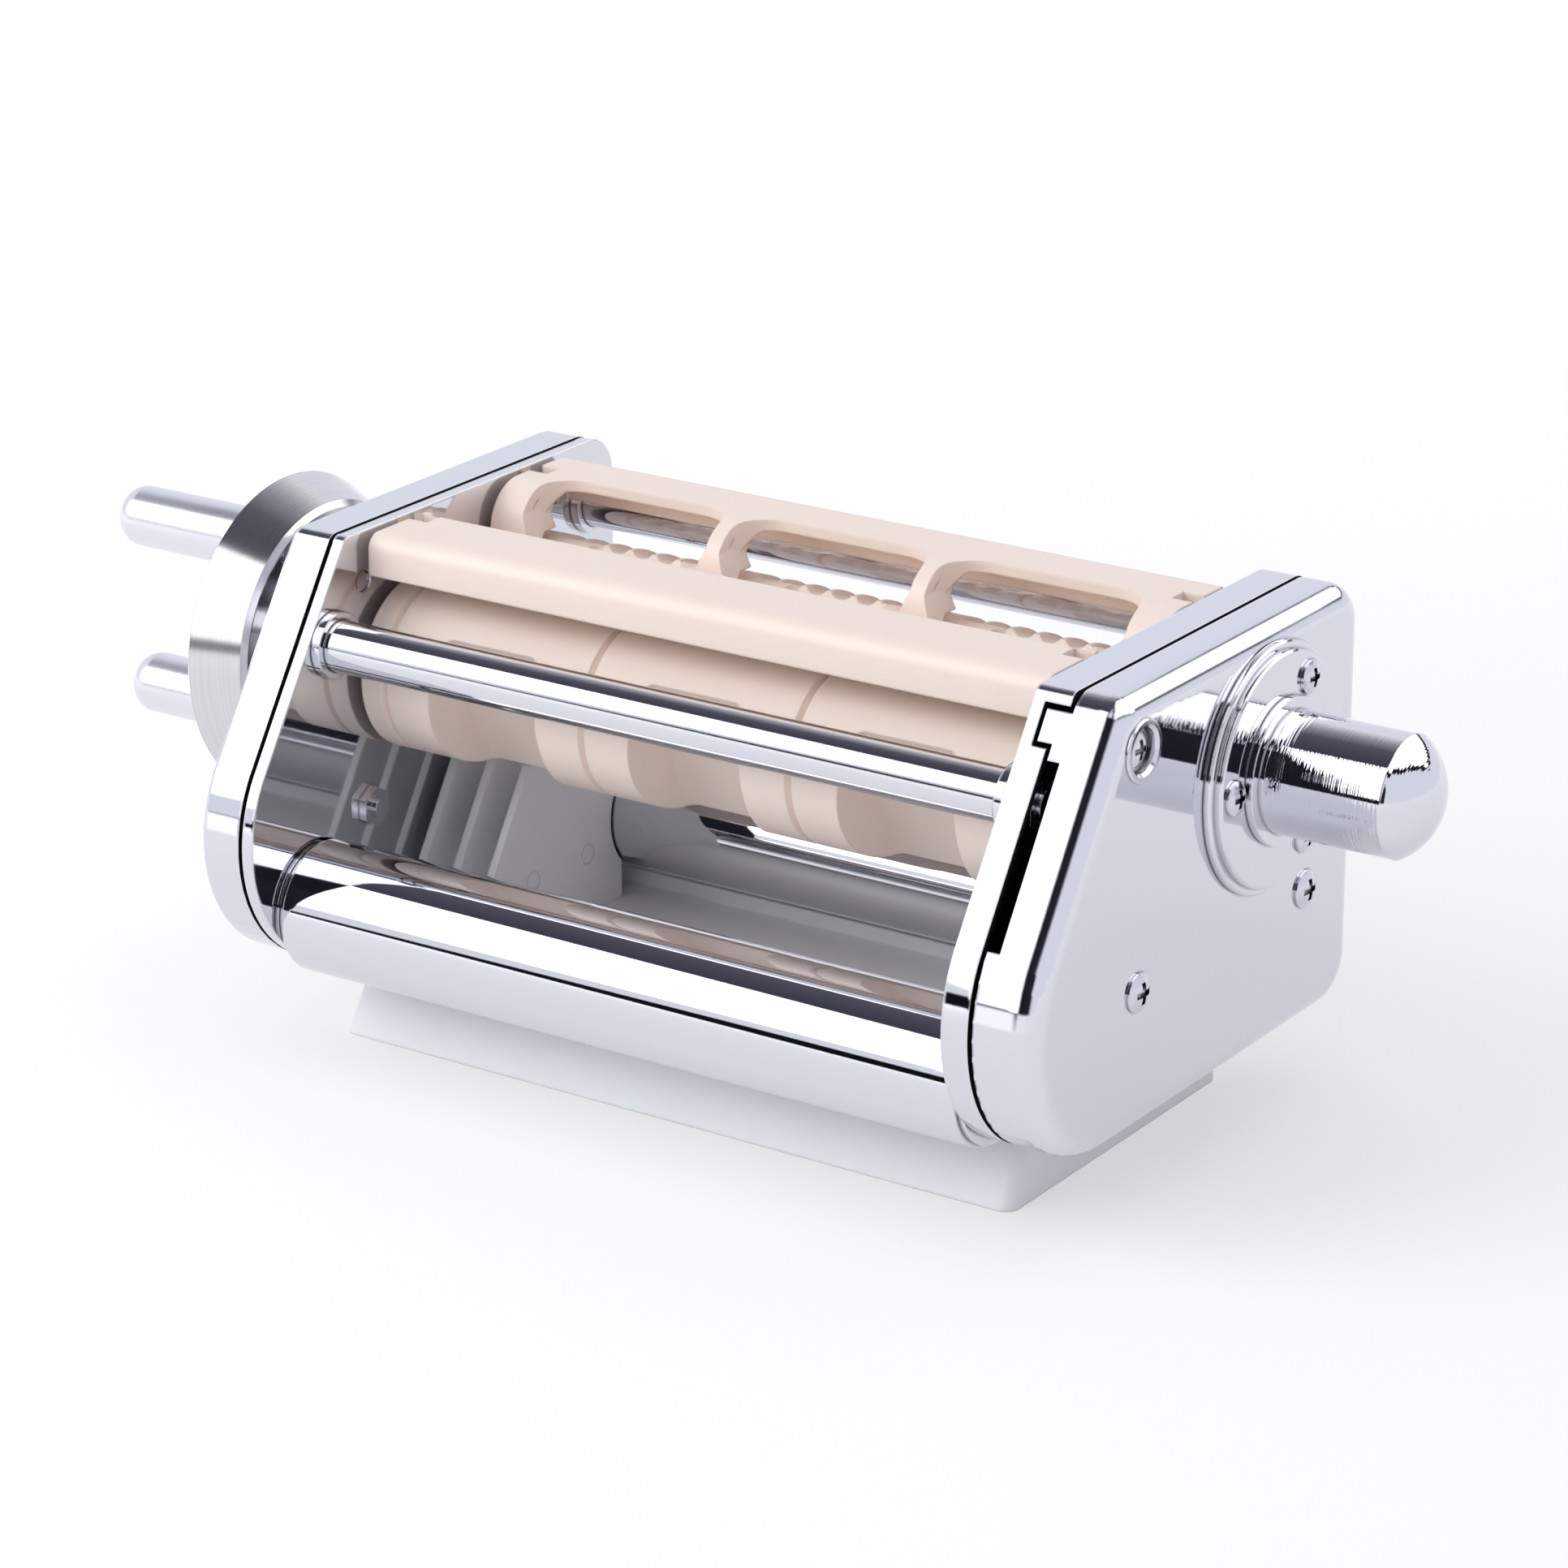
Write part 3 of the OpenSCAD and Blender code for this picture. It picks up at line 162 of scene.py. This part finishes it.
def softbox(name, shape, at, aim, width, height, power, in_metal):
    """An area lamp that faces the aim point. in_metal says whether polished metal mirrors it."""
    lamp = bpy.data.lights.new(name, "AREA")
    lamp.shape = shape
    lamp.size = width
    lamp.size_y = height
    lamp.energy = power
    box = bpy.data.objects.new(name, lamp)
    box.location = at
    box.rotation_euler = (Vector(aim) - Vector(at)).to_track_quat("-Z", "Y").to_euler()
    box.visible_glossy = in_metal
    bpy.context.scene.collection.objects.link(box)


softbox("front_softbox", "ELLIPSE", at=(-1.2, -1.17, 1.04), aim=(-0.6, 0, 0.05),
        width=1.7, height=1.5, power=18.0, in_metal=True)
softbox("top_softbox", "RECTANGLE", at=(-0.1, 0.3, 1.5), aim=(0, 0, 0.05),
        width=1.6, height=1.6, power=2.0, in_metal=False)


def glow_paper(name, stops, strength):
    """A material that shines by itself, in colours that change along Y."""
    material = blank_material(name)
    tree = material.node_tree
    place = add(tree, "SeparateXYZ", {0: add(tree, "TexCoord", {}).outputs["Object"]})
    first, last = stops[0][0], stops[-1][0]
    share = add(tree, "MapRange", {"Value": place.outputs["Y"], "From Min": first, "From Max": last})
    ramp = add(tree, "ValToRGB", {"Fac": share.outputs["Result"]})
    marks = ramp.color_ramp.elements
    while len(marks) < len(stops):
        marks.new(0.5)
    for mark, (y, code) in zip(marks, stops):
        mark.position = (y - first) / (last - first)
    for mark, (y, code) in zip(marks, stops):
        mark.color = paint(code)
    light = add(tree, "Emission", {"Color": ramp.outputs["Color"], "Strength": strength})
    add(tree, "OutputMaterial", {"Surface": light.outputs[0]})
    return material


def only_in_metal(card):
    """Hides a card from everything but mirror reflections."""
    card.visible_camera = False
    card.visible_diffuse = False
    card.visible_shadow = False
    card.visible_transmission = False


def metal_card(name, corners, stops, strength=1.0):
    """A card that only polished metal sees. Its stops are (place along Y, colour), front to back."""
    card = sheet_object(name, corners, [tuple(range(len(corners)))])
    card.data.materials.append(glow_paper(name, stops, strength))
    only_in_metal(card)


# The ceiling is dim over the front and fades to white towards the back. In front stand a low black
# card, a white wing beside the softbox that leans in over the object, and a dark card by the camera.
CEILING = 1.7
metal_card(
    "ceiling_card",
    [(-1.5, -1.4, CEILING), (0.4, -1.4, CEILING), (0.4, 2.0, CEILING), (-1.5, 2.0, CEILING)],
    [(-1.4, "#34343F"), (-0.7, "#444454"), (-0.19, "#52525E"), (0.27, "#5E5E69"),
     (0.84, "#A0A0AA"), (1.54, "#E6E6EC"), (2.0, "#FFFFFF")],
)
metal_card(
    "front_card",
    [(-2.2, -1.76, 0.0), (0.2, -1.75, 0.0), (0.2, -1.75, 0.3),
     (-1.0, -1.75, 0.26), (-1.35, -1.75, 0.1), (-2.2, -1.75, 0.1)],
    [(-1.76, "#14141A"), (-1.74, "#14141A")],
)
metal_card(
    "softbox_wing",
    [(-0.75, -1.62, 0.22), (0.26, -1.62, 0.22), (0.26, -0.68, 1.55), (-0.75, -0.68, 1.55)],
    [(-1.62, "#FFFFFF"), (-0.68, "#FFFFFF")],
    strength=2.0,
)
metal_card(
    "camera_side_card",
    [(0.28, -1.85, 0.03), (1.42, -1.19, 0.03), (1.25, -1.05, 1.55), (0.28, -1.45, 1.72)],
    [(-1.85, "#1C1C24"), (-1.05, "#2C2C36")],
)

# A white panel in a black frame reaches from low behind the object to high over its right-hand end.
# Its corners run round from the lower left one, and the frame is this share of its width and height.
PANEL = [Vector(corner) for corner in
         ((-0.03, 1.8, 0.65), (1.26, 1.26, 0.65), (0.92, -0.72, 1.02), (0.12, 0.42, 1.42))]
PANEL_FRAME = 0.14
PANEL_REACH = 2.0
steps = (-PANEL_FRAME, 0, 1, 1 + PANEL_FRAME)
grid = [PANEL[0].lerp(PANEL[1], u).lerp(PANEL[3].lerp(PANEL[2], u), v) for v in steps for u in steps]
cells = [(r * 4 + c, r * 4 + c + 1, r * 4 + c + 5, r * 4 + c + 4) for r in range(3) for c in range(3)]
MIDDLE_CELL = 4
panel = sheet_object("right_panel", grid, cells)
for name, code, strength in (("panel_frame_black", "#202028", 1.0), ("panel_white", "#FFFFFF", 2.0)):
    stops = [(-PANEL_REACH, code), (PANEL_REACH, code)]
    panel.data.materials.append(glow_paper(name, stops, strength))
panel.data.polygons[MIDDLE_CELL].material_index = 1
only_in_metal(panel)


# Side frames and covers
# Deep-drawn from 1.2 mm steel sheet, polished and chrome plated. The two frames carry every shaft
# and rod; the covers are screwed over them.
CHROME = "#DADBE1"
# Dull steel inside the housings, painted near-black as the shade there and in gaps and corners.
BARE_STEEL_AND_SHADE = "#26262A"
# Smears from handling are about 17 mm wide, and the waves that the press leaves about 70 mm long.
SMEARS_PER_METRE = 60.0
SMEAR_SPAN = (0.35, 0.7)
SMEAR_GLOSS = (0.6, 1.4)
PRESS_WAVES = (14.0, 14.0, 14.0)
WAVE_HEIGHT = 0.001
# How far a gap or corner looks for what shades it, and the open shares at which its painted shade is
# dark and clear.
CREVICE_SHADE_REACH = 0.001
CREVICE_SHADE_SPAN = (0.3, 0.75)


def chrome(name, roughness, wave, waves_per_metre, edge, core=None):
    """Bright chrome plate: a faintly blue mirror with light smears and a slow wave.

    Narrow gaps and corners are painted dark as shade. The plating doesn't reach the inside of a housing,
    so faces that look towards its core are dull steel, painted near-black as the shade in there."""
    material = blank_material(name)
    tree = material.node_tree
    place = add(tree, "TexCoord", {})
    smear = add(tree, "TexNoise", {"Vector": place.outputs["Object"], "Scale": SMEARS_PER_METRE,
                                   "Detail": 5.0})
    rough = add(tree, "MapRange", {"Value": smear.outputs["Fac"],
                                   "From Min": SMEAR_SPAN[0], "From Max": SMEAR_SPAN[1],
                                   "To Min": roughness * SMEAR_GLOSS[0],
                                   "To Max": roughness * SMEAR_GLOSS[1]})
    stretch = add(tree, "Mapping", {"Vector": place.outputs["Object"], "Scale": waves_per_metre})
    slow = add(tree, "TexNoise", {"Vector": stretch.outputs[0], "Scale": 1.0, "Detail": 1.0})
    round_edge = add(tree, "Bevel", {"Radius": edge}, samples=6)
    bump = add(tree, "Bump", {"Strength": wave, "Distance": WAVE_HEIGHT,
                              "Height": slow.outputs["Fac"], "Normal": round_edge.outputs["Normal"]})
    # Painted shade: gaps and corners are mixed towards near-black steel by how little open sky they see.
    open_sky = add(tree, "AmbientOcclusion", {"Distance": CREVICE_SHADE_REACH}, samples=6)
    clear = add(tree, "MapRange", {"Value": open_sky.outputs["AO"],
                                   "From Min": CREVICE_SHADE_SPAN[0], "From Max": CREVICE_SHADE_SPAN[1]})
    tone = add(tree, "MixRGB", {"Fac": clear.outputs["Result"],
                                "Color1": paint(BARE_STEEL_AND_SHADE), "Color2": paint(CHROME)})
    metal = add(tree, "BsdfPrincipled", {"Base Color": tone.outputs[0], "Metallic": 1.0,
                                         "Roughness": rough.outputs["Result"],
                                         "Normal": bump.outputs["Normal"]})
    finish = metal
    if core:
        from_core = add(tree, "VectorMath", {0: place.outputs["Object"], 1: core},
                        operation="SUBTRACT")
        facing = add(tree, "NewGeometry", {})
        outward = add(tree, "VectorMath", {0: from_core.outputs[0], 1: facing.outputs["True Normal"]},
                      operation="DOT_PRODUCT")
        # Faces towards the core are dull steel, painted near-black as the shade inside the housing and
        # in the seam.
        inside = add(tree, "Math", {0: outward.outputs["Value"], 1: 0.0}, operation="LESS_THAN")
        bare_steel_shade = add(tree, "BsdfPrincipled", {"Base Color": paint(BARE_STEEL_AND_SHADE), "Metallic": 0.6,
                                            "Roughness": 0.6})
        finish = add(tree, "MixShader", {0: inside.outputs[0], 1: metal.outputs[0],
                                         2: bare_steel_shade.outputs[0]})
    add(tree, "OutputMaterial", {"Surface": finish.outputs[0]})
    return material


def dress(names, material):
    """Gives CAD nodes a finish."""
    for name in names:
        for place in nodes[name].material_slots:
            place.material = material


# Each core lies beyond the seam, so that both faces of the seam's gap count as inside and are painted
# near-black as shade.
SHEET_EDGE = 0.0008
CORE_Y = -0.008
CORE_Z = 0.05
CORE_X = {"left_frame": -0.1, "right_frame": 0.1, "left_cover": -0.077, "right_cover": 0.077}
for name, core_x in CORE_X.items():
    dress([name], chrome("chrome_plated_" + name, roughness=0.04, wave=0.05, waves_per_metre=PRESS_WAVES,
                         edge=SHEET_EDGE, core=(core_x, CORE_Y, CORE_Z)))


# Tie rods, collars and lower tubes
# Turned steel bar and drawn steel tube, ground smooth and chrome plated. They hold the frames apart.
# The rims of the plugs in the tubes' ends are polished with them.
bar_chrome = chrome("chrome_plated_bar", roughness=0.03, wave=0.01, waves_per_metre=PRESS_WAVES,
                    edge=0.0006)
tube_chrome = chrome("chrome_plated_tube", roughness=0.035, wave=0.015, waves_per_metre=PRESS_WAVES,
                     edge=0.0004)
dress(["front_tie_rod", "rear_tie_rod", "tie_rod_collars"], bar_chrome)
dress(["front_tube", "rear_tube", "tube_end_plugs"], tube_chrome)


# Screws, nuts, cup, posts and pins
# Small steel fasteners, plated with nickel or zinc. The cover posts are blackened and out of sight.
# Painted shade: recesses such as the screws' crosses are mixed towards this near-black.
RECESS_SHADE_BLACK = "#101014"
SCREW_EDGE = 0.0002
RECESS_DEPTH = 0.0015
RECESS_SPAN = (0.45, 0.9)
# The plating's crystals are drawn 0.7 mm wide, coarser than real, to show at all.
CRYSTALS_PER_METRE = 1500.0
CRYSTAL_HEIGHT = 0.00005
CRYSTAL_BUMP = 0.1
CRYSTAL_GLOSS = (0.6, 1.5)


def plated(name, colour, roughness):
    """Plated steel: a grey metal whose crystals show as a fine change of gloss. Recesses are painted
    dark as shade.
    """
    material = blank_material(name)
    tree = material.node_tree
    place = add(tree, "TexCoord", {})
    crystals = add(tree, "TexNoise", {"Vector": place.outputs["Object"], "Scale": CRYSTALS_PER_METRE,
                                      "Detail": 3.0})
    rough = add(tree, "MapRange", {"Value": crystals.outputs["Fac"],
                                   "To Min": roughness * CRYSTAL_GLOSS[0],
                                   "To Max": roughness * CRYSTAL_GLOSS[1]})
    round_edge = add(tree, "Bevel", {"Radius": SCREW_EDGE}, samples=4)
    bump = add(tree, "Bump", {"Strength": CRYSTAL_BUMP, "Distance": CRYSTAL_HEIGHT,
                              "Height": crystals.outputs["Fac"],
                              "Normal": round_edge.outputs["Normal"]})
    # Painted shade: recesses are mixed towards near-black by how little open sky they see.
    open_sky = add(tree, "AmbientOcclusion", {"Distance": RECESS_DEPTH}, samples=6, only_local=True)
    clear = add(tree, "MapRange", {"Value": open_sky.outputs["AO"],
                                   "From Min": RECESS_SPAN[0], "From Max": RECESS_SPAN[1]})
    tone = add(tree, "MixRGB", {"Fac": clear.outputs["Result"],
                                "Color1": paint(RECESS_SHADE_BLACK), "Color2": paint(colour)})
    metal = add(tree, "BsdfPrincipled", {"Base Color": tone.outputs[0], "Metallic": 1.0,
                                         "Roughness": rough.outputs["Result"],
                                         "Normal": bump.outputs["Normal"]})
    add(tree, "OutputMaterial", {"Surface": metal.outputs[0]})
    return material


nickel = plated("nickel_plated_screws", "#D4D4DC", roughness=0.16)
zinc = plated("zinc_plated_steel", "#C9CCD2", roughness=0.24)
blackened = plated("blackened_steel_posts", "#2C2C30", roughness=0.4)
dress(["left_cover_screws", "right_cover_screws", "hub_screws", "tube_screws", "tray_screws",
       "crank_screw", "screw_cup", "frame_lock_nuts"], nickel)
dress(["tie_rod_nuts", "hopper_pins"], zinc)
dress(["left_cover_posts", "right_cover_posts"], blackened)


# Base tray
# One moulding of pale grey polypropylene with the guide fins that turn the sheet to the front.
PLASTIC_IOR = 1.48
MOULD_EDGE = 0.0007
# The plastic's flow shows as clouds about 22 mm wide. The mould's grain is drawn 0.7 to 0.9 mm
# wide, coarser than real, to show at all.
FLOWS_PER_METRE = 45.0
FLOW_TWIST = 0.6
MOULD_GRAIN_HEIGHT = 0.0001
MOULD_GRAIN_BUMP = 0.12
MOULD_GLOSS = (0.8, 1.25)
# Light that gets into the plastic comes out again this near, red farthest.
GLOW_DEPTH = 0.002
GLOW_SHARES = (1.0, 0.55, 0.35)


def moulded(name, colour, worn, roughness, glow, grains_per_metre):
    """Moulded plastic: an even colour with a faint flow in it, a soft gloss and a fine grain."""
    material = blank_material(name)
    tree = material.node_tree
    place = add(tree, "TexCoord", {})
    flow = add(tree, "TexNoise", {"Vector": place.outputs["Object"], "Scale": FLOWS_PER_METRE,
                                  "Detail": 4.0, "Distortion": FLOW_TWIST})
    tone = add(tree, "MixRGB", {"Fac": flow.outputs["Fac"],
                                "Color1": paint(colour), "Color2": paint(worn)})
    grain = add(tree, "TexNoise", {"Vector": place.outputs["Object"], "Scale": grains_per_metre,
                                   "Detail": 4.0})
    rough = add(tree, "MapRange", {"Value": grain.outputs["Fac"],
                                   "To Min": roughness * MOULD_GLOSS[0],
                                   "To Max": roughness * MOULD_GLOSS[1]})
    round_edge = add(tree, "Bevel", {"Radius": MOULD_EDGE}, samples=6)
    bump = add(tree, "Bump", {"Strength": MOULD_GRAIN_BUMP, "Distance": MOULD_GRAIN_HEIGHT,
                              "Height": grain.outputs["Fac"], "Normal": round_edge.outputs["Normal"]})
    plastic = add(tree, "BsdfPrincipled", {"Base Color": tone.outputs[0],
                                           "Roughness": rough.outputs["Result"],
                                           "IOR": PLASTIC_IOR, "Subsurface Weight": glow,
                                           "Subsurface Radius": GLOW_SHARES,
                                           "Subsurface Scale": GLOW_DEPTH,
                                           "Normal": bump.outputs["Normal"]})
    add(tree, "OutputMaterial", {"Surface": plastic.outputs[0]})
    return material


pale_grey = moulded("moulded_grey_polypropylene", "#F2F3F5", "#EDEEF0", roughness=0.42, glow=0.0,
                    grains_per_metre=1300.0)
dress(["base_tray"], pale_grey)

# The bores for the side screws end blind in the innermost fins, under a thin skin.
BORE_Y = (-0.006, 0.012)
BORE_Z = 0.024
BORE_R = 0.002
FIN_FACE = 0.0555
SKIN = 0.0007
RING = 32
skins = bmesh.new()
for side in (-1, 1):
    for y in BORE_Y:
        rims = []
        for x in (FIN_FACE, FIN_FACE + SKIN):
            turns = [2 * pi * i / RING for i in range(RING)]
            rims.append([skins.verts.new((side * x, y + BORE_R * cos(a), BORE_Z + BORE_R * sin(a)))
                         for a in turns])
        front, back = rims if side < 0 else rims[::-1]
        skins.faces.new(front)
        skins.faces.new(back[::-1])
        for i in range(RING):
            j = (i + 1) % RING
            skins.faces.new((front[i], back[i], back[j], front[j]))
bmesh.ops.recalc_face_normals(skins, faces=skins.faces)
skin_mesh = bpy.data.meshes.new("tray_bore_skins")
skins.to_mesh(skin_mesh)
skins.free()
skin_mesh.materials.append(pale_grey)
bore_skins = bpy.data.objects.new("tray_bore_skins", skin_mesh)
bpy.context.scene.collection.objects.link(bore_skins)
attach(bore_skins, "housing")


# Hopper and rollers
# Moulded from beige acetal, which is a little waxy and glows warm where light gets into thin walls.
beige = moulded("moulded_beige_acetal", "#FAEADE", "#F8E4D5", roughness=0.42, glow=0.12,
                grains_per_metre=1100.0)
dress(["hopper", "front_roller", "rear_roller"], beige)


# Shafts, gears, clips and bushes
# Ground steel shafts, two cut steel gears with spring clips, and black nylon bushes in the frames.
# The tools' lines are 0.3 to 1.1 mm apart along the axis, coarser than real, and 25 mm long.
LINES_LONG_PER_METRE = 40.0
LINE_HEIGHT = 0.00005
LINE_BUMP = 0.15
LINE_GLOSS = (0.7, 1.3)


def machined(name, colour, roughness, lines_per_metre):
    """Cut steel: grey, with the tool's fine lines round the axis."""
    material = blank_material(name)
    tree = material.node_tree
    place = add(tree, "TexCoord", {})
    stretch = add(tree, "Mapping", {"Vector": place.outputs["Object"],
                                    "Scale": (lines_per_metre, LINES_LONG_PER_METRE,
                                              LINES_LONG_PER_METRE)})
    marks = add(tree, "TexNoise", {"Vector": stretch.outputs[0], "Scale": 1.0, "Detail": 3.0})
    rough = add(tree, "MapRange", {"Value": marks.outputs["Fac"],
                                   "To Min": roughness * LINE_GLOSS[0],
                                   "To Max": roughness * LINE_GLOSS[1]})
    bump = add(tree, "Bump", {"Strength": LINE_BUMP, "Distance": LINE_HEIGHT,
                              "Height": marks.outputs["Fac"]})
    metal = add(tree, "BsdfPrincipled", {"Base Color": paint(colour), "Metallic": 1.0,
                                         "Roughness": rough.outputs["Result"],
                                         "Normal": bump.outputs["Normal"]})
    add(tree, "OutputMaterial", {"Surface": metal.outputs[0]})
    return material


ground = machined("ground_steel", "#BFC1C6", roughness=0.25, lines_per_metre=3000.0)
cut = machined("cut_gear_steel", "#A6A8AC", roughness=0.35, lines_per_metre=2000.0)
spring = machined("spring_steel", "#8E8C8A", roughness=0.35, lines_per_metre=900.0)
nylon = moulded("turned_black_nylon", "#2A2A2C", "#232325", roughness=0.5, glow=0.0,
                grains_per_metre=1500.0)
dress(["front_shaft", "rear_shaft"], ground)
dress(["front_gear", "rear_gear"], cut)
dress(["front_gear_clip", "rear_gear_clip"], spring)
dress(["shaft_bushes"], nylon)


# Crank
# The wheel is spun and turned from aluminium, and the two finger pegs are turned from bar and
# riveted in. The lathe leaves fine rings, which stretch every highlight across them.
CRANK_Y = -0.0171
CRANK_Z = 0.0694
# The rings are drawn 0.4 mm apart, coarser than real, to show at all.
RING_GAP = 0.0004
RING_HEIGHT = 0.00005
RING_BUMP = 0.12
RING_SHADE = "#C9C6C8"
STRETCH = 0.5
ACROSS_RINGS = 0.25


def turned_aluminium(name, colour, roughness, axis_y, axis_z, ring_gap):
    """Turned aluminium: rings round the axis that lighten and darken the metal by a hair."""
    material = blank_material(name)
    tree = material.node_tree
    place = add(tree, "TexCoord", {})
    centred = add(tree, "VectorMath", {0: place.outputs["Object"], 1: (0, axis_y, axis_z)},
                  operation="SUBTRACT")
    parts = add(tree, "SeparateXYZ", {0: centred.outputs[0]})
    flat = add(tree, "CombineXYZ", {"Y": parts.outputs["Y"], "Z": parts.outputs["Z"]})
    radius = add(tree, "VectorMath", {0: flat.outputs[0]}, operation="LENGTH")
    along = add(tree, "Math", {0: radius.outputs["Value"], 1: parts.outputs["X"]}, operation="ADD")
    line = add(tree, "CombineXYZ", {"X": along.outputs[0]})
    rings = add(tree, "TexNoise", {"Vector": line.outputs[0], "Scale": 1 / ring_gap, "Detail": 4.0})
    tone = add(tree, "MixRGB", {"Fac": rings.outputs["Fac"],
                                "Color1": paint(colour), "Color2": paint(RING_SHADE)})
    bump = add(tree, "Bump", {"Strength": RING_BUMP, "Distance": RING_HEIGHT,
                              "Height": rings.outputs["Fac"]})
    tangent = add(tree, "Tangent", {}, direction_type="RADIAL", axis="X")
    metal = add(tree, "BsdfPrincipled", {"Base Color": tone.outputs[0], "Metallic": 1.0,
                                         "Roughness": roughness, "Anisotropic": STRETCH,
                                         "Anisotropic Rotation": ACROSS_RINGS,
                                         "Tangent": tangent.outputs[0],
                                         "Normal": bump.outputs["Normal"]})
    add(tree, "OutputMaterial", {"Surface": metal.outputs[0]})
    return material


wheel = turned_aluminium("turned_aluminium", "#E4E3E8", roughness=0.18, axis_y=CRANK_Y,
                         axis_z=CRANK_Z, ring_gap=RING_GAP)
dress(["crank_wheel"], wheel)

# The pegs' blasted grain is drawn 0.4 mm wide, coarser than real, to show at all.
BLASTS_PER_METRE = 2500.0
BLAST_HEIGHT = 0.00004
BLAST_BUMP = 0.04
BLAST_GLOSS = (0.85, 1.15)


def satin(name, colour, roughness):
    """Satin anodised aluminium: a soft even gloss over a very fine blasted grain."""
    material = blank_material(name)
    tree = material.node_tree
    place = add(tree, "TexCoord", {})
    grain = add(tree, "TexNoise", {"Vector": place.outputs["Object"], "Scale": BLASTS_PER_METRE,
                                   "Detail": 3.0})
    rough = add(tree, "MapRange", {"Value": grain.outputs["Fac"],
                                   "To Min": roughness * BLAST_GLOSS[0],
                                   "To Max": roughness * BLAST_GLOSS[1]})
    bump = add(tree, "Bump", {"Strength": BLAST_BUMP, "Distance": BLAST_HEIGHT,
                              "Height": grain.outputs["Fac"]})
    metal = add(tree, "BsdfPrincipled", {"Base Color": paint(colour), "Metallic": 1.0,
                                         "Roughness": rough.outputs["Result"],
                                         "Normal": bump.outputs["Normal"]})
    add(tree, "OutputMaterial", {"Surface": metal.outputs[0]})
    return material


dress(["crank_pegs"], satin("satin_anodised_aluminium", "#E2E2E8", roughness=0.25))


# Hub
# The plug is turned from steel bar and chrome plated; its round flange is pressed from sheet.
# Polishing lines run round the plug. They are drawn 0.4 mm apart, coarser than real, to show at all.
LATHE_LINES = (2500.0, 60.0, 60.0)
flange = chrome("chrome_plated_flange", roughness=0.04, wave=0.03, waves_per_metre=PRESS_WAVES,
                edge=0.0006)
plug = chrome("chrome_plated_turned_steel", roughness=0.05, wave=0.05, waves_per_metre=LATHE_LINES,
              edge=0.0004)
dress(["hub_flange"], flange)
dress(["hub_plug"], plug)
